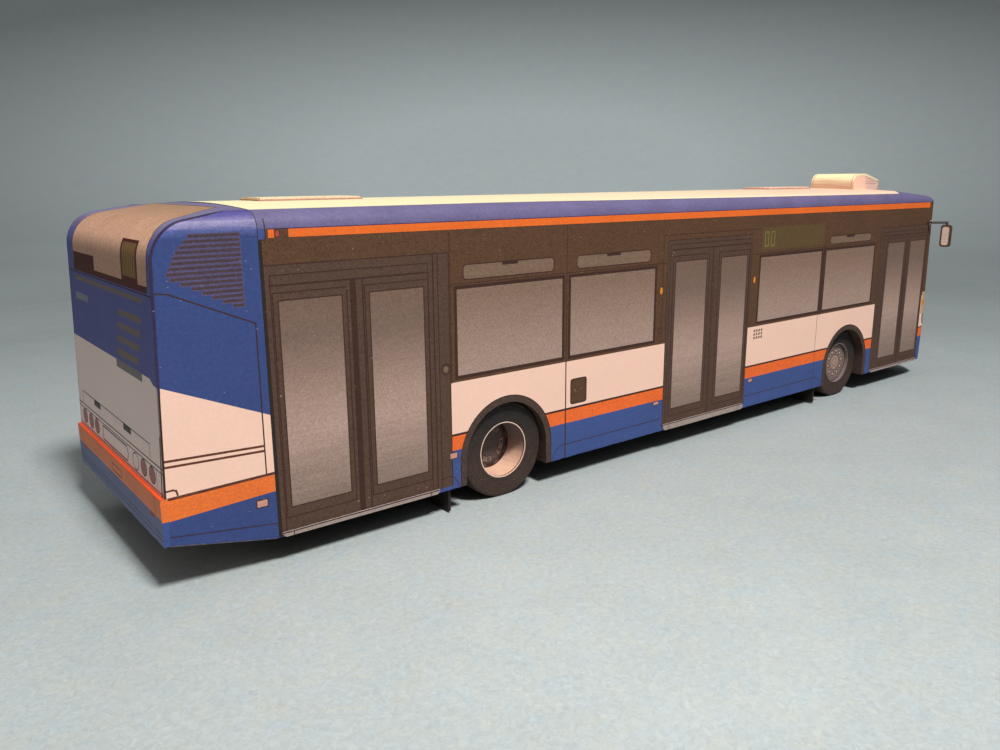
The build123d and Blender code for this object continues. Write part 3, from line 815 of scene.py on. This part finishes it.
for side, sideName in ((-1, "right"), (1, "left")):
    printedSheet(f"{sideName}Quarter", [f"{sideName}_quarter"], "quarterBlueInk",
                 quarterOutline(), quarterPrints(), sideBend(side), edgeInk="seamEdge", cutsV=coveCuts,
                 flip=side > 0, marked=(quarterArt["markFrom"], "violetMarker"))

rearWindow = {
    "heights": [26.4, 28.5, 29.5, 30.5, 32.0, 34.0, 36.0, 37.8],
    "right": [13.5, 13.7, 13.6, 13.4, 12.8, 11.7, 10.3, 9.4],
    "left": [12.0, 12.0, 11.9, 11.7, 11.2, 10.4, 9.5, 8.9],
}


def windowShape(grow):
    right, left = (np.stack((sign * (np.array(rearWindow[key]) + grow), rearWindow["heights"]), 1)
                   for sign, key in ((1, "right"), (-1, "left")))
    for edge in (right, left):
        edge[-1, 1] += grow
    return np.concatenate((right, left[::-1]))


def comb(h0, h1, low, high, teeth=16):
    # a slat whose lower edge is a row of small teeth
    h = np.linspace(h0, h1, 2 * teeth + 1)
    v = np.where(np.arange(len(h)) % 2, low, low + 0.14)
    return np.concatenate((np.stack((h, v), 1), [(h1, high), (h0, high)]))


def rearPrints():
    art = [
        ("rearBlueInk", rect(-16, 18, 16, 30.4)),
        # white card of the rear wall, lighter and cooler as painted fill light
        ("rearWhiteCard", np.array([(-16, 9), (16, 9), (16, 18.3), (13.6, 18.5), (12.6, 18.9), (-16, 18.9)])),
        ("rearBlueInk", rect(-16, 0, 16, 9.0)),
        ("rearBlackInk", windowShape(0.16)),
        # the rear glass, with its painted highlight where it turns over
        ("rearGlassInk", windowShape(0.0)),
        ("rearBlackInk", rect(-12.1, 25.95, 13.5, 26.5)),
        ("rearBlackInk", rect(-11.9, 26.4, -3.5, 27.85)),
        ("rearBlackInk", rect(6.1, 26.5, 11.0, 30.1)),
        ("rearDisplayInk", rect(6.5, 26.9, 10.6, 29.8)),
        ("oliveInk", comb(-11.9, 12.0, 24.92, 25.42, 40)),
        ("tagInk", rect(-12.1, 23.0, -7.0, 23.7)),
        ("greyInk", rect(2.4, 18.2, 10.5, 18.95)),
    ]
    for row, (low, high) in enumerate(((23.15, 23.75), (21.9, 22.55), (20.65, 21.3), (19.4, 20.1))):
        start = 4.2 - 0.45 * row
        art += [("oliveInk", comb(start, start + 7.0, low, high, 12))]
    for k in range(6):
        h = 6.9 + 0.62 * k
        art += lines([(h, 27.1), (h + 0.3, 28.2), (h - 0.05, 29.5)], 0.2, "rearFigureInk")
    art += level(25.8, -14.6, 14.6, 0.12)
    # the engine flap with its two handles
    art += lines([(-12.7, 11.8), (-12.7, 13.0), (11.4, 13.0), (11.4, 11.8)])
    for h in (-7.7, 3.2):
        art += [("lineInk", rect(h, 12.4, h + 2.5, 12.95)),
                ("hubShade", rect(h + 0.25, 12.55, h + 2.25, 12.8))]
    art += level(11.55, -14.6, 14.6, 0.12) + level(11.15, -14.6, 14.6)
    # lamps and the field of the plate, which stays blank
    for h in (-12.2, -9.6, -7.2, 9.2, 11.7):
        art += ringed(h, 10.3, (0.95, 0.8), (0.84, 0.7), "ovalInk")
    # this lamp's face uses the rear wall's white card, which carries painted fill light
    art += ringed(6.7, 10.2, (0.98, 0.84), (0.86, 0.73), "rearWhiteCard")
    art += lines([(-4.8, 9.5), (3.9, 9.5), (4.3, 10.2), (3.9, 10.9), (-4.8, 10.9)], 0.14, closed=True)
    art += upright(12.95, 9.6, 11.1, 0.08) + level(9.25, -15, 15, 0.13, "redInk")
    art += lines([(14.2, 9), (14.5, 14.2)], 0.3, "brownLine")
    return art + upright(14.5, 14, 29.0) + upright(-14.35, 9, 29.0, 0.08)


capHeights = np.concatenate(([footZ], tailRun[1:-1], np.linspace(tailRun[-2], tailRun[-1], 9)[1:]))
capSides = tailHalf(capHeights) - 0.02
capOutline = np.concatenate((np.stack((capSides, capHeights), 1), np.stack((-capSides, capHeights), 1)[::-1]))
printedSheet("rearCap", ["rear_cap"], "coveBlueInk", capOutline, rearPrints(), tailBend,
             edgeInk="seamEdge", cutsV=list(capHeights[1:-1]), cutsU=list(np.linspace(-13, 13, 9)),
             marked=(quarterArt["markFrom"], "violetMarker"))


def panBend(u, h):
    # the pan under the tail rises from the seam to the foot of the rear wall
    share = (u - rearSeam) / (wallFoot[0] - rearSeam)
    return np.stack((u, h, skirtZ + 0.1 + (footZ - skirtZ) * share), 1)


panInset = 0.35
printedSheet("tailPan", [], "whiteCard",
             rect(wallFoot[0] + panInset, -half + panInset, rearSeam - 0.05, half - panInset), [], panBend,
             thickness=-card, flip=True)

bumperTop, bumperBottom, bumperX = bumperHigh[2], bumperLow[2], bumperLow[0]
ledge = np.interp(bumperTop, tailProfile[:, 1], tailProfile[:, 0]) - bumperX


def bumperBend(h, v):
    # the face up to the fold, then the ledge forwards to the wall
    over = np.clip(v - bumperTop, 0, None)
    return np.stack((bumperX + over, -h, np.minimum(v, bumperTop)), 1)


def bumper():
    art = [("bumperOrangeInk", rect(-16, 7.15, 16, bumperTop)),
           ("orangeFelt", rect(-16, bumperTop - 0.12, 16, bumperTop + 1))]
    art += level(5.75, -16, 16, 0.08) + level(5.3, -16, 16, 0.08)
    art += [("redInk", rect(h, 6.75, h + 1.1, 7.1)) for h in (-12.6, 11.4)]
    art += upright(-13.0, 7.2, 8.85, 0.08) + upright(13.0, 7.2, 8.85, 0.08)
    art += lines(rect(-0.6, 7.5, 2.6, 8.2), 0.08, closed=True)
    lowEdge, highEdge = bumperBottom + 0.08, bumperTop + ledge - 0.02
    outline = np.concatenate((frayed((-half, lowEdge), (half, lowEdge), 0.05, 0.16, 6),
                              [(half, highEdge), (-half, highEdge)]))
    printedSheet("rearBumper", ["rear_bumper"], "bumperBlueInk", outline, art, bumperBend,
                 edgeInk="blueInk", cutsV=[bumperTop], thickness=strip)
    # the turned-in ends that close the bumper towards the sides
    for side, name in ((-1, "bumperEndRight"), (1, "bumperEndLeft")):
        end = np.array([(bumperX + 0.01, bumperBottom + 0.1), (wallFoot[0] + card, footZ + 0.02),
                        (bumperX + ledge + card, bumperTop - 0.02), (bumperX + 0.01, bumperTop - 0.02)])
        felt = rect(bumperX - 1, 6.95, wallFoot[0] + 1, bumperTop + 1)
        printedSheet(name, [], "blueInk", end, [("feltSide", felt)],
                     flatBend(1, side * (half + 0.012)), edgeInk="blueInk", flip=side > 0, thickness=0.1)


bumper()
print("rear section printed")

seamHalf = half - shape["cove"]


def lidBend(lift=0):
    return lambda u, h: np.stack((u, h, sectionTop(h) + lift), 1)


roofArt = upright(rearSeam + 0.07, -13, 13, 0.14, "violetMarker")
roofArt += upright(domeSeam - 0.07, -13, 13, 0.12, "violetMarker")
printedSheet("roofSheet", ["roof"], "roofCard", rect(rearSeam, -seamHalf, domeSeam, seamHalf),
             roofArt, lidBend(), cutsV=list(np.linspace(-seamHalf, seamHalf, 15)[1:-1]),
             edgeInk="violetMarker")


def hatch(nodeName, name):
    # two layers of card, the upper one a little smaller and printed with fine outlines
    low, high = cornersOf(nodeName)
    lid = high[2] - roofZ

    def outlineAt(inset, radius):
        return roundRect(low[0] + inset, low[1] + inset, high[0] - inset, high[1] - inset, radius)

    art = lines(outlineAt(0.4, 0.3), 0.16, "hopperInk", True)
    art += lines(outlineAt(1.0, 0.2), 0.08, "roseInk", True)
    for layer, nodes, inset, lift, edgeInk in (("Lower", [], 0.0, lid / 2, "roseInk"),
                                               ("Upper", [nodeName], 0.22, lid, "paleEdge")):
        printedSheet(name + layer, nodes, "roofCard", outlineAt(inset, 0.4), art, lidBend(lift),
                     edgeInk=edgeInk, thickness=lid / 2 - 0.01, cutsV=[0.0])


hatch("rear_hatch", "rearHatch")
hatch("front_hatch", "frontHatch")

unitLow, unitHigh = cornersOf("roof_unit")
unit = {"level": 0.45, "sunk": 0.6, "lip": 1.3, "backRadius": 1.7, "frontRadius": 0.5, "slats": 7, "ribs": 5}


def unitProfile(inset=0.0):
    # upright back, rounded upper edge, a level stretch and a slope down to the front lip
    back, front, top = unitLow[0] + inset, unitHigh[0] - inset, unitHigh[2] - inset
    levelEnd = back + unit["level"] * (front - back)
    base = roofZ - unit["sunk"]
    turned = roundedCorner((back, base), (back, top), (levelEnd, top), unit["backRadius"] - inset, 11)
    slope = roundedCorner((levelEnd + 0.1, top), (front, roofZ + unit["lip"] - inset), (front, base),
                          unit["frontRadius"], 5)
    return np.concatenate((turned, slope))


def roofUnit():
    line = unitProfile()
    run = runAlong(line)
    right, left = -unitHigh[1], -unitLow[1]
    slopeRun = run[14] + 0.4

    def bend(h, v):
        return np.stack((np.interp(v, run, line[:, 0]), -h, np.interp(v, run, line[:, 1])), 1)

    art = []
    for k in range(unit["slats"]):
        art += level(slopeRun + 0.4 * k, right + 0.7, left - 0.7, 0.09, "roseInk")
    art += lines([(right + 0.3, 1.0), (right + 0.3, run[13]), (left - 0.3, run[13]), (left - 0.3, 1.0)], 0.1,
                 "roseInk")
    printedSheet("roofUnitCover", ["roof_unit"], "unitCard", rect(right, 0, left, run[-1]), art,
                 bend, edgeInk="unitCard", cutsV=list(run[1:-1]))
    cheek = unitProfile(card)
    art = []
    for k in range(unit["ribs"]):
        art += level(roofZ + 0.7 + 0.3 * k, cheek[12, 0] + 0.3, cheek[-2, 0] - 0.5 - 0.4 * k, 0.1, "roseInk")
    for name, y, flip in (("roofUnitRight", unitLow[1] + 0.03, False),
                          ("roofUnitLeft", unitHigh[1] - 0.03, True)):
        printedSheet(name, [], "whiteCard", cheek, art, flatBend(1, y), edgeInk="roofCard",
                     flip=flip)


roofUnit()
print("roof laid")

nose = {
    "steps": 13,
    "tuckZ": [skirtZ, 9.0, 13.5, 31.4],
    "tuckX": [0.9, 0.0, 0.6, 2.1],  # how far the nose runs back at each of those heights
    "browFall": 1.0, "browReach": 6, "domeReach": 13.5, "crestFall": 1.15, "fillet": 0.9, "crestBack": 7,
}


def nosePlan():
    # seen from above: a shallow bow over the whole width, with a round corner at each end
    radius, bow = shape["cornerRadius"], shape["noseBow"]
    bowRadius = (half ** 2 + bow ** 2) / (2 * bow)
    middle = noseTip - bowRadius
    cornerY = half - radius
    cornerX = middle + math.sqrt((bowRadius - radius) ** 2 - cornerY ** 2)
    meet = math.atan2(cornerY, cornerX - middle)
    turn = np.linspace(math.pi / 2, meet, nose["steps"])
    sweep = np.linspace(-meet, meet, 2 * nose["steps"])
    left = np.stack((cornerX + radius * np.cos(turn), cornerY + radius * np.sin(turn)), 1)
    front = np.stack((middle + bowRadius * np.cos(sweep), bowRadius * np.sin(sweep)), 1)[1:-1]
    ends = [(domeSeam, -half), (noseSide, -half)]
    return np.concatenate((ends, left * (1, -1), front, left[::-1], [(x, -y) for x, y in ends[::-1]]))


noseRing = nosePlan()
ringRun = runAlong(noseRing)
ringRun -= ringRun[-1] / 2
ringWay = np.gradient(noseRing, ringRun, axis=0)
ringWay /= np.linalg.norm(ringWay, axis=1, keepdims=True)
wrapHalf, domeHalf = -ringRun[1], ringRun[-1]
noseDepth = noseTip - noseSide


def noseAt(p, z):
    # the plan outline, drawn back towards the sides by the slope of the nose at each height
    x, y = np.interp(p, ringRun, noseRing[:, 0]), np.interp(p, ringRun, noseRing[:, 1])
    tuck = np.interp(z, nose["tuckZ"], nose["tuckX"])
    return np.where(x > noseSide, noseSide + (x - noseSide) * (1 - tuck / noseDepth), x), y


def noseBend(p, v):
    x, y = noseAt(p, v)
    return np.stack((x, y, v), 1)


def brow(p):
    # height at which the dome starts: that of the stripe at the sides, one millimetre lower over the nose
    inwards = np.clip((wrapHalf - np.abs(p)) / nose["browReach"], 0, 1)
    return shape["stripe"] - nose["browFall"] * inwards ** 0.8


def domeBend(p, q):
    # up from the wall over a fillet, for q up to 1, and then across to the middle line of the roof
    start = brow(p)
    x, y = noseAt(p, start)
    inX = -np.interp(p, ringRun, ringWay[:, 1])
    inY = np.interp(p, ringRun, ringWay[:, 0])
    share = np.clip((x - domeSeam) / nose["domeReach"], 0, 1)
    radius = shape["cove"] + nose["fillet"] * np.clip((x - noseSide) / 3, 0, 1)
    crest = shape["stripe"] + shape["cove"] - nose["crestFall"] * share
    angle = np.clip(q, 0, 1) * math.pi / 2
    drawn = radius * (1 - np.cos(angle)) / np.hypot(inX, inY)
    x1, y1 = x + inX * drawn, y + inY * drawn
    z1 = start + (crest - start) * np.sin(angle)
    across = np.clip(q - 1, 0, 1)
    endX = np.minimum(x1, noseTip - nose["crestBack"])
    fall = shape["domeDrop"] * np.clip((endX - domeSeam) / nose["domeReach"], 0, 1)
    endZ = np.maximum(roofZ - fall, z1)
    z2 = z1 + (endZ - z1) * (1 - (1 - across) ** 2)
    return np.stack((x1 + (endX - x1) * across, y1 * (1 - across), np.where(q > 1, z2, z1)), 1)


def frontPrints():
    art = [
        ("blueInk", rect(-40, 0, 40, 7.0)),
        ("orangeInk", rect(-40, 7.0, 40, 8.55)),
        ("lineInk", rect(-40, 8.55, 40, 8.75)),
        ("brownBlackInk", rect(-40, 12.6, 40, 34)),
        ("lineInk", roundRect(-13.3, 13.0, 13.3, 25.2, 1.0)),
        ("windowGlassInk", roundRect(-13.0, 13.3, 13.0, 24.9, 0.8)),
        ("lineInk", roundRect(-10.7, 25.7, 10.7, 29.3, 0.6)),
        ("displayInk", roundRect(-10.5, 25.9, 10.5, 29.1, 0.5)),
        ("lineInk", rect(-0.15, 13.1, 0.15, 25.1)),
    ]
    art += figures(-9.0, 1.5, 26.6, 28.4, 0.8)
    # lamps, the corner lamp and one wiper on each side
    for side in (-1, 1):
        low, high = sorted((side * 7.6, side * (wrapHalf - 0.8)))
        art += [("lineInk", roundRect(low, 9.1, high, 12.1, 0.9)),
                ("greyInk", roundRect(low + 0.2, 9.3, high - 0.2, 11.9, 0.8))]
        art += ringed(side * 9.4, 10.6, 1.15, 1.0, "whiteCard")
        art += ringed(side * 11.9, 10.6, 1.0, 0.85, "whiteCard")
        art += [("amberInk", oval(side * 14.1, 10.6, 0.7))] + ringed(side * 10.5, 5.2, 0.9, 0.7, "greyInk")
        start, end = sorted((side * (wrapHalf - 2.6), side * wrapHalf))
        art += [("ochreLamp", rect(start, 11.0, end, 14.9)), ("amberInk", rect(start, 12.6, end, 13.4))]
        art += lines([(side * -2.5, 13.4), (side * -9.0, 18.4)], 0.16)
    for v in (9.6, 10.6, 11.6):
        art += level(v, -6.0, 6.0)
    art += lines(rect(-4.0, 4.2, 4.0, 6.0), closed=True)
    return art + level(26.9, -wrapHalf, -wrapHalf + 0.8, 0.7, "lampInk")


browRun = np.linspace(wrapHalf, -wrapHalf, 41)
wrapOutline = np.concatenate(([(-wrapHalf, skirtZ), (wrapHalf, skirtZ)],
                              np.stack((browRun, brow(browRun)), 1)))
printedSheet("frontWrap", ["front_cap"], "whiteCard", wrapOutline, frontPrints(), noseBend,
             cutsU=list(ringRun[2:-2]), cutsV=[5.0, 7.0, 9.0, 11.0, 13.5, 18.0, 23.0, 27.0])
domeArt = [("violetMarker", rect(-domeHalf - 1, -1, -domeHalf + 0.12, 3)),
           ("violetMarker", rect(domeHalf - 0.12, -1, domeHalf + 1, 3))]
printedSheet("frontDome", [], "coveBlueInk", rect(-domeHalf, 0, domeHalf, 2), domeArt,
             domeBend, cutsU=list(ringRun[1:-1]) + [0.0, domeHalf - 5, 5 - domeHalf],
             cutsV=list(np.linspace(0.1, 1, 10)) + [1.25, 1.5, 1.75])
print("front cap folded")

for nodeName, name in (("rear_door_sill", "rearSill"), ("middle_door_ramp", "middleRamp"),
                       ("front_door_sill", "frontSill")):
    low, high = cornersOf(nodeName)
    bevel, hinge = 0.3, 1.1
    outline = np.array([(low[0] + bevel, low[2]), (high[0] - bevel, low[2]), (high[0], low[2] + bevel),
                        (high[0], high[2]), (low[0], high[2]), (low[0], low[2] + bevel)])
    art = level(high[2] - 0.06, low[0], high[0], 0.12)
    art += upright(low[0] + hinge, low[2], high[2]) + upright(high[0] - hinge, low[2], high[2])
    printedSheet(name, [nodeName], "sillInk", outline, art, flatBend(1, low[1]),
                 thickness=strip - 0.01)

for sideName in ("right", "left"):
    nodeName = f"{sideName}_mirror_head"
    low, high = cornersOf(nodeName)
    outline = roundRect(low[1], low[2], high[1], high[2], 0.45)
    art = [("hopperInk", roundRect(low[1] + 0.16, low[2] + 0.16, high[1] - 0.16, high[2] - 0.16, 0.38)),
           ("mirrorFace", roundRect(low[1] + 0.3, low[2] + 0.32, high[1] - 0.3, high[2] - 0.36, 0.32))]
    printedSheet(f"{sideName}Mirror", [nodeName], "frameInk", outline, art,
                 flatBend(0, low[0]), edgeInk="frameInk", thickness=high[0] - low[0], flip=True)

# radii of tyre and rim, thickness of a layer and of the rim's paper, and the rim's taper in degrees
wheelSizes = {"tyre": 5.4, "rim": 3.2, "layer": 0.55, "paper": 0.1, "taper": 6}


def tyre(name, nodeName, body, centre, side, width):
    # layers of card glued into a roll, with its outer edges rounded off by sanding
    outer, hole, layer = wheelSizes["tyre"], wheelSizes["rim"], wheelSizes["layer"]
    face = [(radius, 0.0) for radius in (hole, 3.5, 3.58, 4.3, 4.36, 4.75, 4.81)]
    # the face of the tyre is darker towards the top: painted shade from the arch
    faceInks = ["tyreInk", "tyreLine"] * 3 + ["tyreInk"]
    tread = [(outer - 0.26, 0.0), (outer - 0.08, 0.06), (outer - 0.01, 0.2)]
    for depth in np.arange(layer, width - 0.3, layer):
        tread += [(outer, depth - 0.1), (outer - 0.04, depth), (outer, depth + 0.1)]
    tread += [(outer - 0.02, width - 0.12), (outer - 0.12, width)]
    lathe(name, [nodeName], body, centre, side, face + tread + [(hole, width)],
          faceInks + ["tyreEdge"] * (len(tread) + 1))


def rim(name, nodeName, body, centre, side, dish):
    # a strip of thin card rolled up inside the tyre; its cut edge stays white
    outer = wheelSizes["rim"] - 0.02
    inner = outer - wheelSizes["paper"]
    narrow = dish * math.tan(math.radians(wheelSizes["taper"]))
    profile = [(inner, 0.0), (inner - 0.01, 0.08), (inner - 0.03, 0.22), (inner - narrow * 0.5, dish * 0.5),
               (inner - narrow, dish), (outer, dish), (outer, 0.0)]
    # the inner wall of the rim is dark towards the top: painted shade inside the dish
    bandInks = ["dishCard", "rimLine"] + ["dishCard"] * 4 + ["mirrorFace"]
    if dish < 1:
        profile = [(inner, 0.0), (inner - 0.02, dish), (outer, dish), (outer, 0.0)]
        bandInks = ["hubGrey"] * 4
    lathe(name, [nodeName], body, centre, side, profile, bandInks)


def rings(u, v, sizes):
    return [(ink, oval(u, v, radius, steps=steps)) for ink, radius, steps in sizes]


def around(u, v, radius, angle):
    # a point on a circle, angle in degrees
    return u + radius * math.cos(math.radians(angle)), v + radius * math.sin(math.radians(angle))


def rearHubPrint(u, v):
    # brake drum, hub disc and the pale corners of the flange with their nuts
    art = rings(u, v, (("lineInk", 2.95, 56), ("drumInk", 2.85, 56), ("hubShade", 2.3, 56),
                       ("lineInk", 2.22, 56), ("hubShade", 2.1, 48)))
    for k in range(9):
        art.append(("hubShade", sector(u, v, 2.42, 2.66, 40 * k + 6, 40 * k + 22, 6)))
    for middle in (72, 162, 252, 342):
        art += [("lineInk", sector(u, v, 1.42, 2.08, middle - 33, middle + 33, 12)),
                ("hubGrey", sector(u, v, 1.5, 2.08, middle - 30, middle + 30, 12))]
        for turn in (-16, 16):
            art += rings(*around(u, v, 1.8, middle + turn), (("drumInk", 0.2, 12), ("hubGrey", 0.09, 10)))
    return art


def frontHubPrint(u, v):
    art = rings(u, v, (("lineInk", 3.05, 56), ("hubGrey", 2.9, 56), ("hubShade", 2.62, 56),
                       ("hubGrey", 2.5, 56), ("lineInk", 1.3, 40), ("hubPale", 1.18, 40),
                       ("hubShade", 0.7, 32), ("hubPale", 0.6, 32)))
    for k in range(10):
        art += rings(*around(u, v, 1.9, 36 * k + 10), (("lineInk", 0.36, 12), ("rimCard", 0.2, 12)))
    return art


def wheel(axleName, side, sideName):
    place = f"{axleName}_{sideName}"
    low, high = cornersOf(f"{place}_tyre")
    rimLow, rimHigh = cornersOf(f"{place}_rim")
    face = max(abs(low[1]), abs(high[1]))
    dish = rimHigh[1] - rimLow[1]
    centre = (axleX[axleName], face, axleZ)
    body = f"{axleName}_axle_set"
    name = axleName + sideName.capitalize()
    tyre(name + "Tyre", f"{place}_tyre", body, centre, side, high[1] - low[1])
    rim(name + "Rim", f"{place}_rim", body, centre, side, dish)
    art = (rearHubPrint if dish > 1 else frontHubPrint)(centre[0], axleZ)
    printedSheet(name + "Hub", [f"{place}_hub"], "hubShade",
                 oval(centre[0], axleZ, wheelSizes["rim"] - 0.05, steps=64), art,
                 flatBend(1, side * (face - dish + 0.01)), edgeInk="cutEdge", flip=side > 0, body=body)


for axleName in ("rear", "front"):
    wheel(axleName, -1, "right")
    wheel(axleName, 1, "left")
print("wheels turned")

# finishes of the pieces that keep their solid, by the end of their name
keptInks = {"floor": "blackCard", "_mud_flap": "blackCard", "_axle_sleeve": "blackCard",
            "_wheel_well": "archCard", "_axle": "dowelWood", "_mirror_arm": "wireInk"}
for nodeName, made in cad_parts.items():
    ending = next((key for key in keptInks if nodeName.endswith(key)), None)
    if ending:
        made.data.materials.clear()
        made.data.materials.append(inks[keptInks[ending]])

# lengths in metres; near is the brightest spot of the table, pool that of the backdrop
studio = {
    "flat": 0.5, "curve": 0.35, "rise": 0.5, "turns": 72, "circles": 30,
    "ambient": 0.25, "near": (-0.047, -0.043, 0.0), "pool": (0.465, 0.575, 0.09), "lift": 0.28,
    "backdrop": (0.2, 0.38), "dims": (0.2, 0.6), "paperReach": 0.6,
    # paper: tones by distance from near; the darkening up to the stop at 0.29 is painted falloff of light
    # around the model
    "paper": [(0.0, "#BBC2C0"), (0.025, "#B8BFBD"), (0.055, "#B0B7B5"), (0.11, "#AAB1B0"), (0.2, "#A3ABAB"),
              (0.29, "#979F9F"), (0.4, "#A0A9A9"), (0.52, "#C0CACB"), (0.62, "#CED8D9"), (0.8, "#D1DCDD"),
              (1.0, "#CED8D9")],
}


def tableMaterial():
    # pale grey-green paper with fine fibres; its tone follows the distance from the brightest spot: darker
    # going out, as painted falloff of light, and pale again on the backdrop, so that no horizon shows
    made, add, place, inMm = newMaterial("tablePaper")
    grain = noise(add, inMm, 2.0, 4.0, 0.65, 1.0)
    cloud = noise(add, inMm, 0.12, 3.0)
    span = add("VectorMath", {0: place, 1: studio["near"]}, out="Value", operation="DISTANCE")
    paper = ramped(add, between(add, span, 0.0, studio["paperReach"]), studio["paper"])
    # fibres of two dye tones lie through the paper, bluish and cream
    dye = noise(add, inMm, 0.42, 6.0, 0.62, 0.8)
    bluish, cream = (0.88, 0.985, 1.11, 1), (1.12, 1.015, 0.89, 1)
    tint = add("Mix", {0: dye, 6: bluish, 7: cream}, out=2, data_type="RGBA")
    dyed = add("VectorMath", {0: paper, 1: tint}, operation="MULTIPLY")
    # a pool of light low on the backdrop, which dims around it
    tall = add("Mapping", {"Vector": place, "Scale": (1, 1, 3.0)})
    away = add("VectorMath", {0: tall, 1: studio["pool"]}, out="Value", operation="DISTANCE")
    dim = between(add, away, *studio["dims"], 1.0, 0.33)
    behind = between(add, span, *studio["backdrop"])
    share = add("Mix", {0: behind, 2: 1.0, 3: dim})
    value = maths(add, "MULTIPLY", unevenness(add, (grain, 0.27), (cloud, 0.07)), share)
    base = add("VectorMath", {0: dyed, "Scale": value}, operation="SCALE")
    raised = add("Bump", {"Height": grain, "Distance": 0.00006, "Strength": 0.5})
    skin = add("BsdfPrincipled", {"Base Color": base, "Roughness": 0.85, "Specular IOR Level": 0.2,
                                  "Normal": raised})
    # the backdrop glows a little where it is seen or mirrored, and sheds no diffuse light on the model
    rays = add("LightPath", out=None)
    seen = rays.outputs["Is Camera Ray"]
    for kind in ("Is Glossy Ray", "Is Transmission Ray"):
        seen = maths(add, "MAXIMUM", seen, rays.outputs[kind])
    lift = maths(add, "MULTIPLY", dim, studio["lift"])
    for mask in (behind, seen):
        lift = maths(add, "MULTIPLY", lift, mask)
    glow = add("Emission", {"Color": paper, "Strength": lift})
    add("OutputMaterial", {"Surface": add("AddShader", {0: skin, 1: glow})}, out=None)
    return made


def table():
    # a flat round table whose rim curves up all round, as a paper sweep does
    steps, circles = studio["turns"], studio["circles"]
    turn = np.linspace(0, math.pi / 2, 16)[1:]
    radius = np.concatenate((np.linspace(0.02, studio["flat"], circles),
                             studio["flat"] + studio["curve"] * np.sin(turn)))
    height = np.concatenate((np.zeros(circles), studio["rise"] * (1 - np.cos(turn))))
    angle = np.arange(steps) * 2 * math.pi / steps
    x, y = radius[None] * np.cos(angle)[:, None], radius[None] * np.sin(angle)[:, None]
    z = np.broadcast_to(height[None], x.shape)
    count = len(radius)
    ring, spot = np.meshgrid(np.arange(steps), np.arange(count - 1), indexing="ij")
    here, after = ring * count + spot, (ring + 1) % steps * count + spot
    faces = np.stack((here, here + 1, after + 1, after), -1).reshape(-1, 4).tolist()
    faces.append([k * count for k in range(steps)])
    mesh = bpy.data.meshes.new("table")
    mesh.from_pydata(np.stack((x, y, z), -1).reshape(-1, 3).tolist(), [], faces)
    mesh.polygons.foreach_set("use_smooth", np.ones(len(faces), dtype=bool))
    mesh.materials.append(tableMaterial())
    made = putInScene("table", mesh)


def lamp(name, place, target, size, energy):
    data = bpy.data.lights.new(name, "AREA")
    data.shape = "DISK"
    data.size = size
    data.energy = energy
    made = putInScene(name, data)
    made.location = place
    made.rotation_euler = (Vector(target) - Vector(place)).to_track_quat("-Z", "Y").to_euler()


table()
lamp("keyLamp", (-0.055, -0.20, 0.31), (-0.02, 0.0, 0.01), 0.07, 1.43)
lamp("fillLamp", (-0.05, 0.30, 0.29), (0.0, 0.0, 0.02), 0.2, 0.17)
world = bpy.data.worlds.new("room")
bpy.context.scene.world = world
world.use_nodes = True
background = world.node_tree.nodes["Background"]
background.inputs["Color"].default_value = (1, 1, 1, 1)
background.inputs["Strength"].default_value = studio["ambient"]

# angles in degrees, and the place from the print zero line
view = {"yaw": 51.85, "pitch": -13.26, "roll": -0.43, "place": (-54.285, -82.955, 34.689),
        "lens": 29.96, "sensor": 36.0, "clip": 0.002}


def camera():
    yaw, pitch, roll = (math.radians(view[key]) for key in ("yaw", "pitch", "roll"))
    ahead = np.array((math.cos(pitch) * math.cos(yaw), math.cos(pitch) * math.sin(yaw), math.sin(pitch)))
    right = np.array((math.sin(yaw), -math.cos(yaw), 0.0))
    up = np.cross(right, ahead)
    turnedRight = math.cos(roll) * right + math.sin(roll) * up
    turnedUp = -math.sin(roll) * right + math.cos(roll) * up
    place = (np.array(view["place"]) + (printZero, 0, 0)) / 1000
    data = bpy.data.cameras.new("view")
    data.lens, data.sensor_width, data.clip_start = view["lens"], view["sensor"], view["clip"]
    made = putInScene("view", data)
    rows = [tuple(row) for row in np.stack((turnedRight, turnedUp, -ahead, place), 1)]
    made.matrix_world = Matrix(rows + [(0, 0, 0, 1)])
    bpy.context.scene.camera = made


camera()
bpy.context.scene.view_settings.view_transform = "Standard"
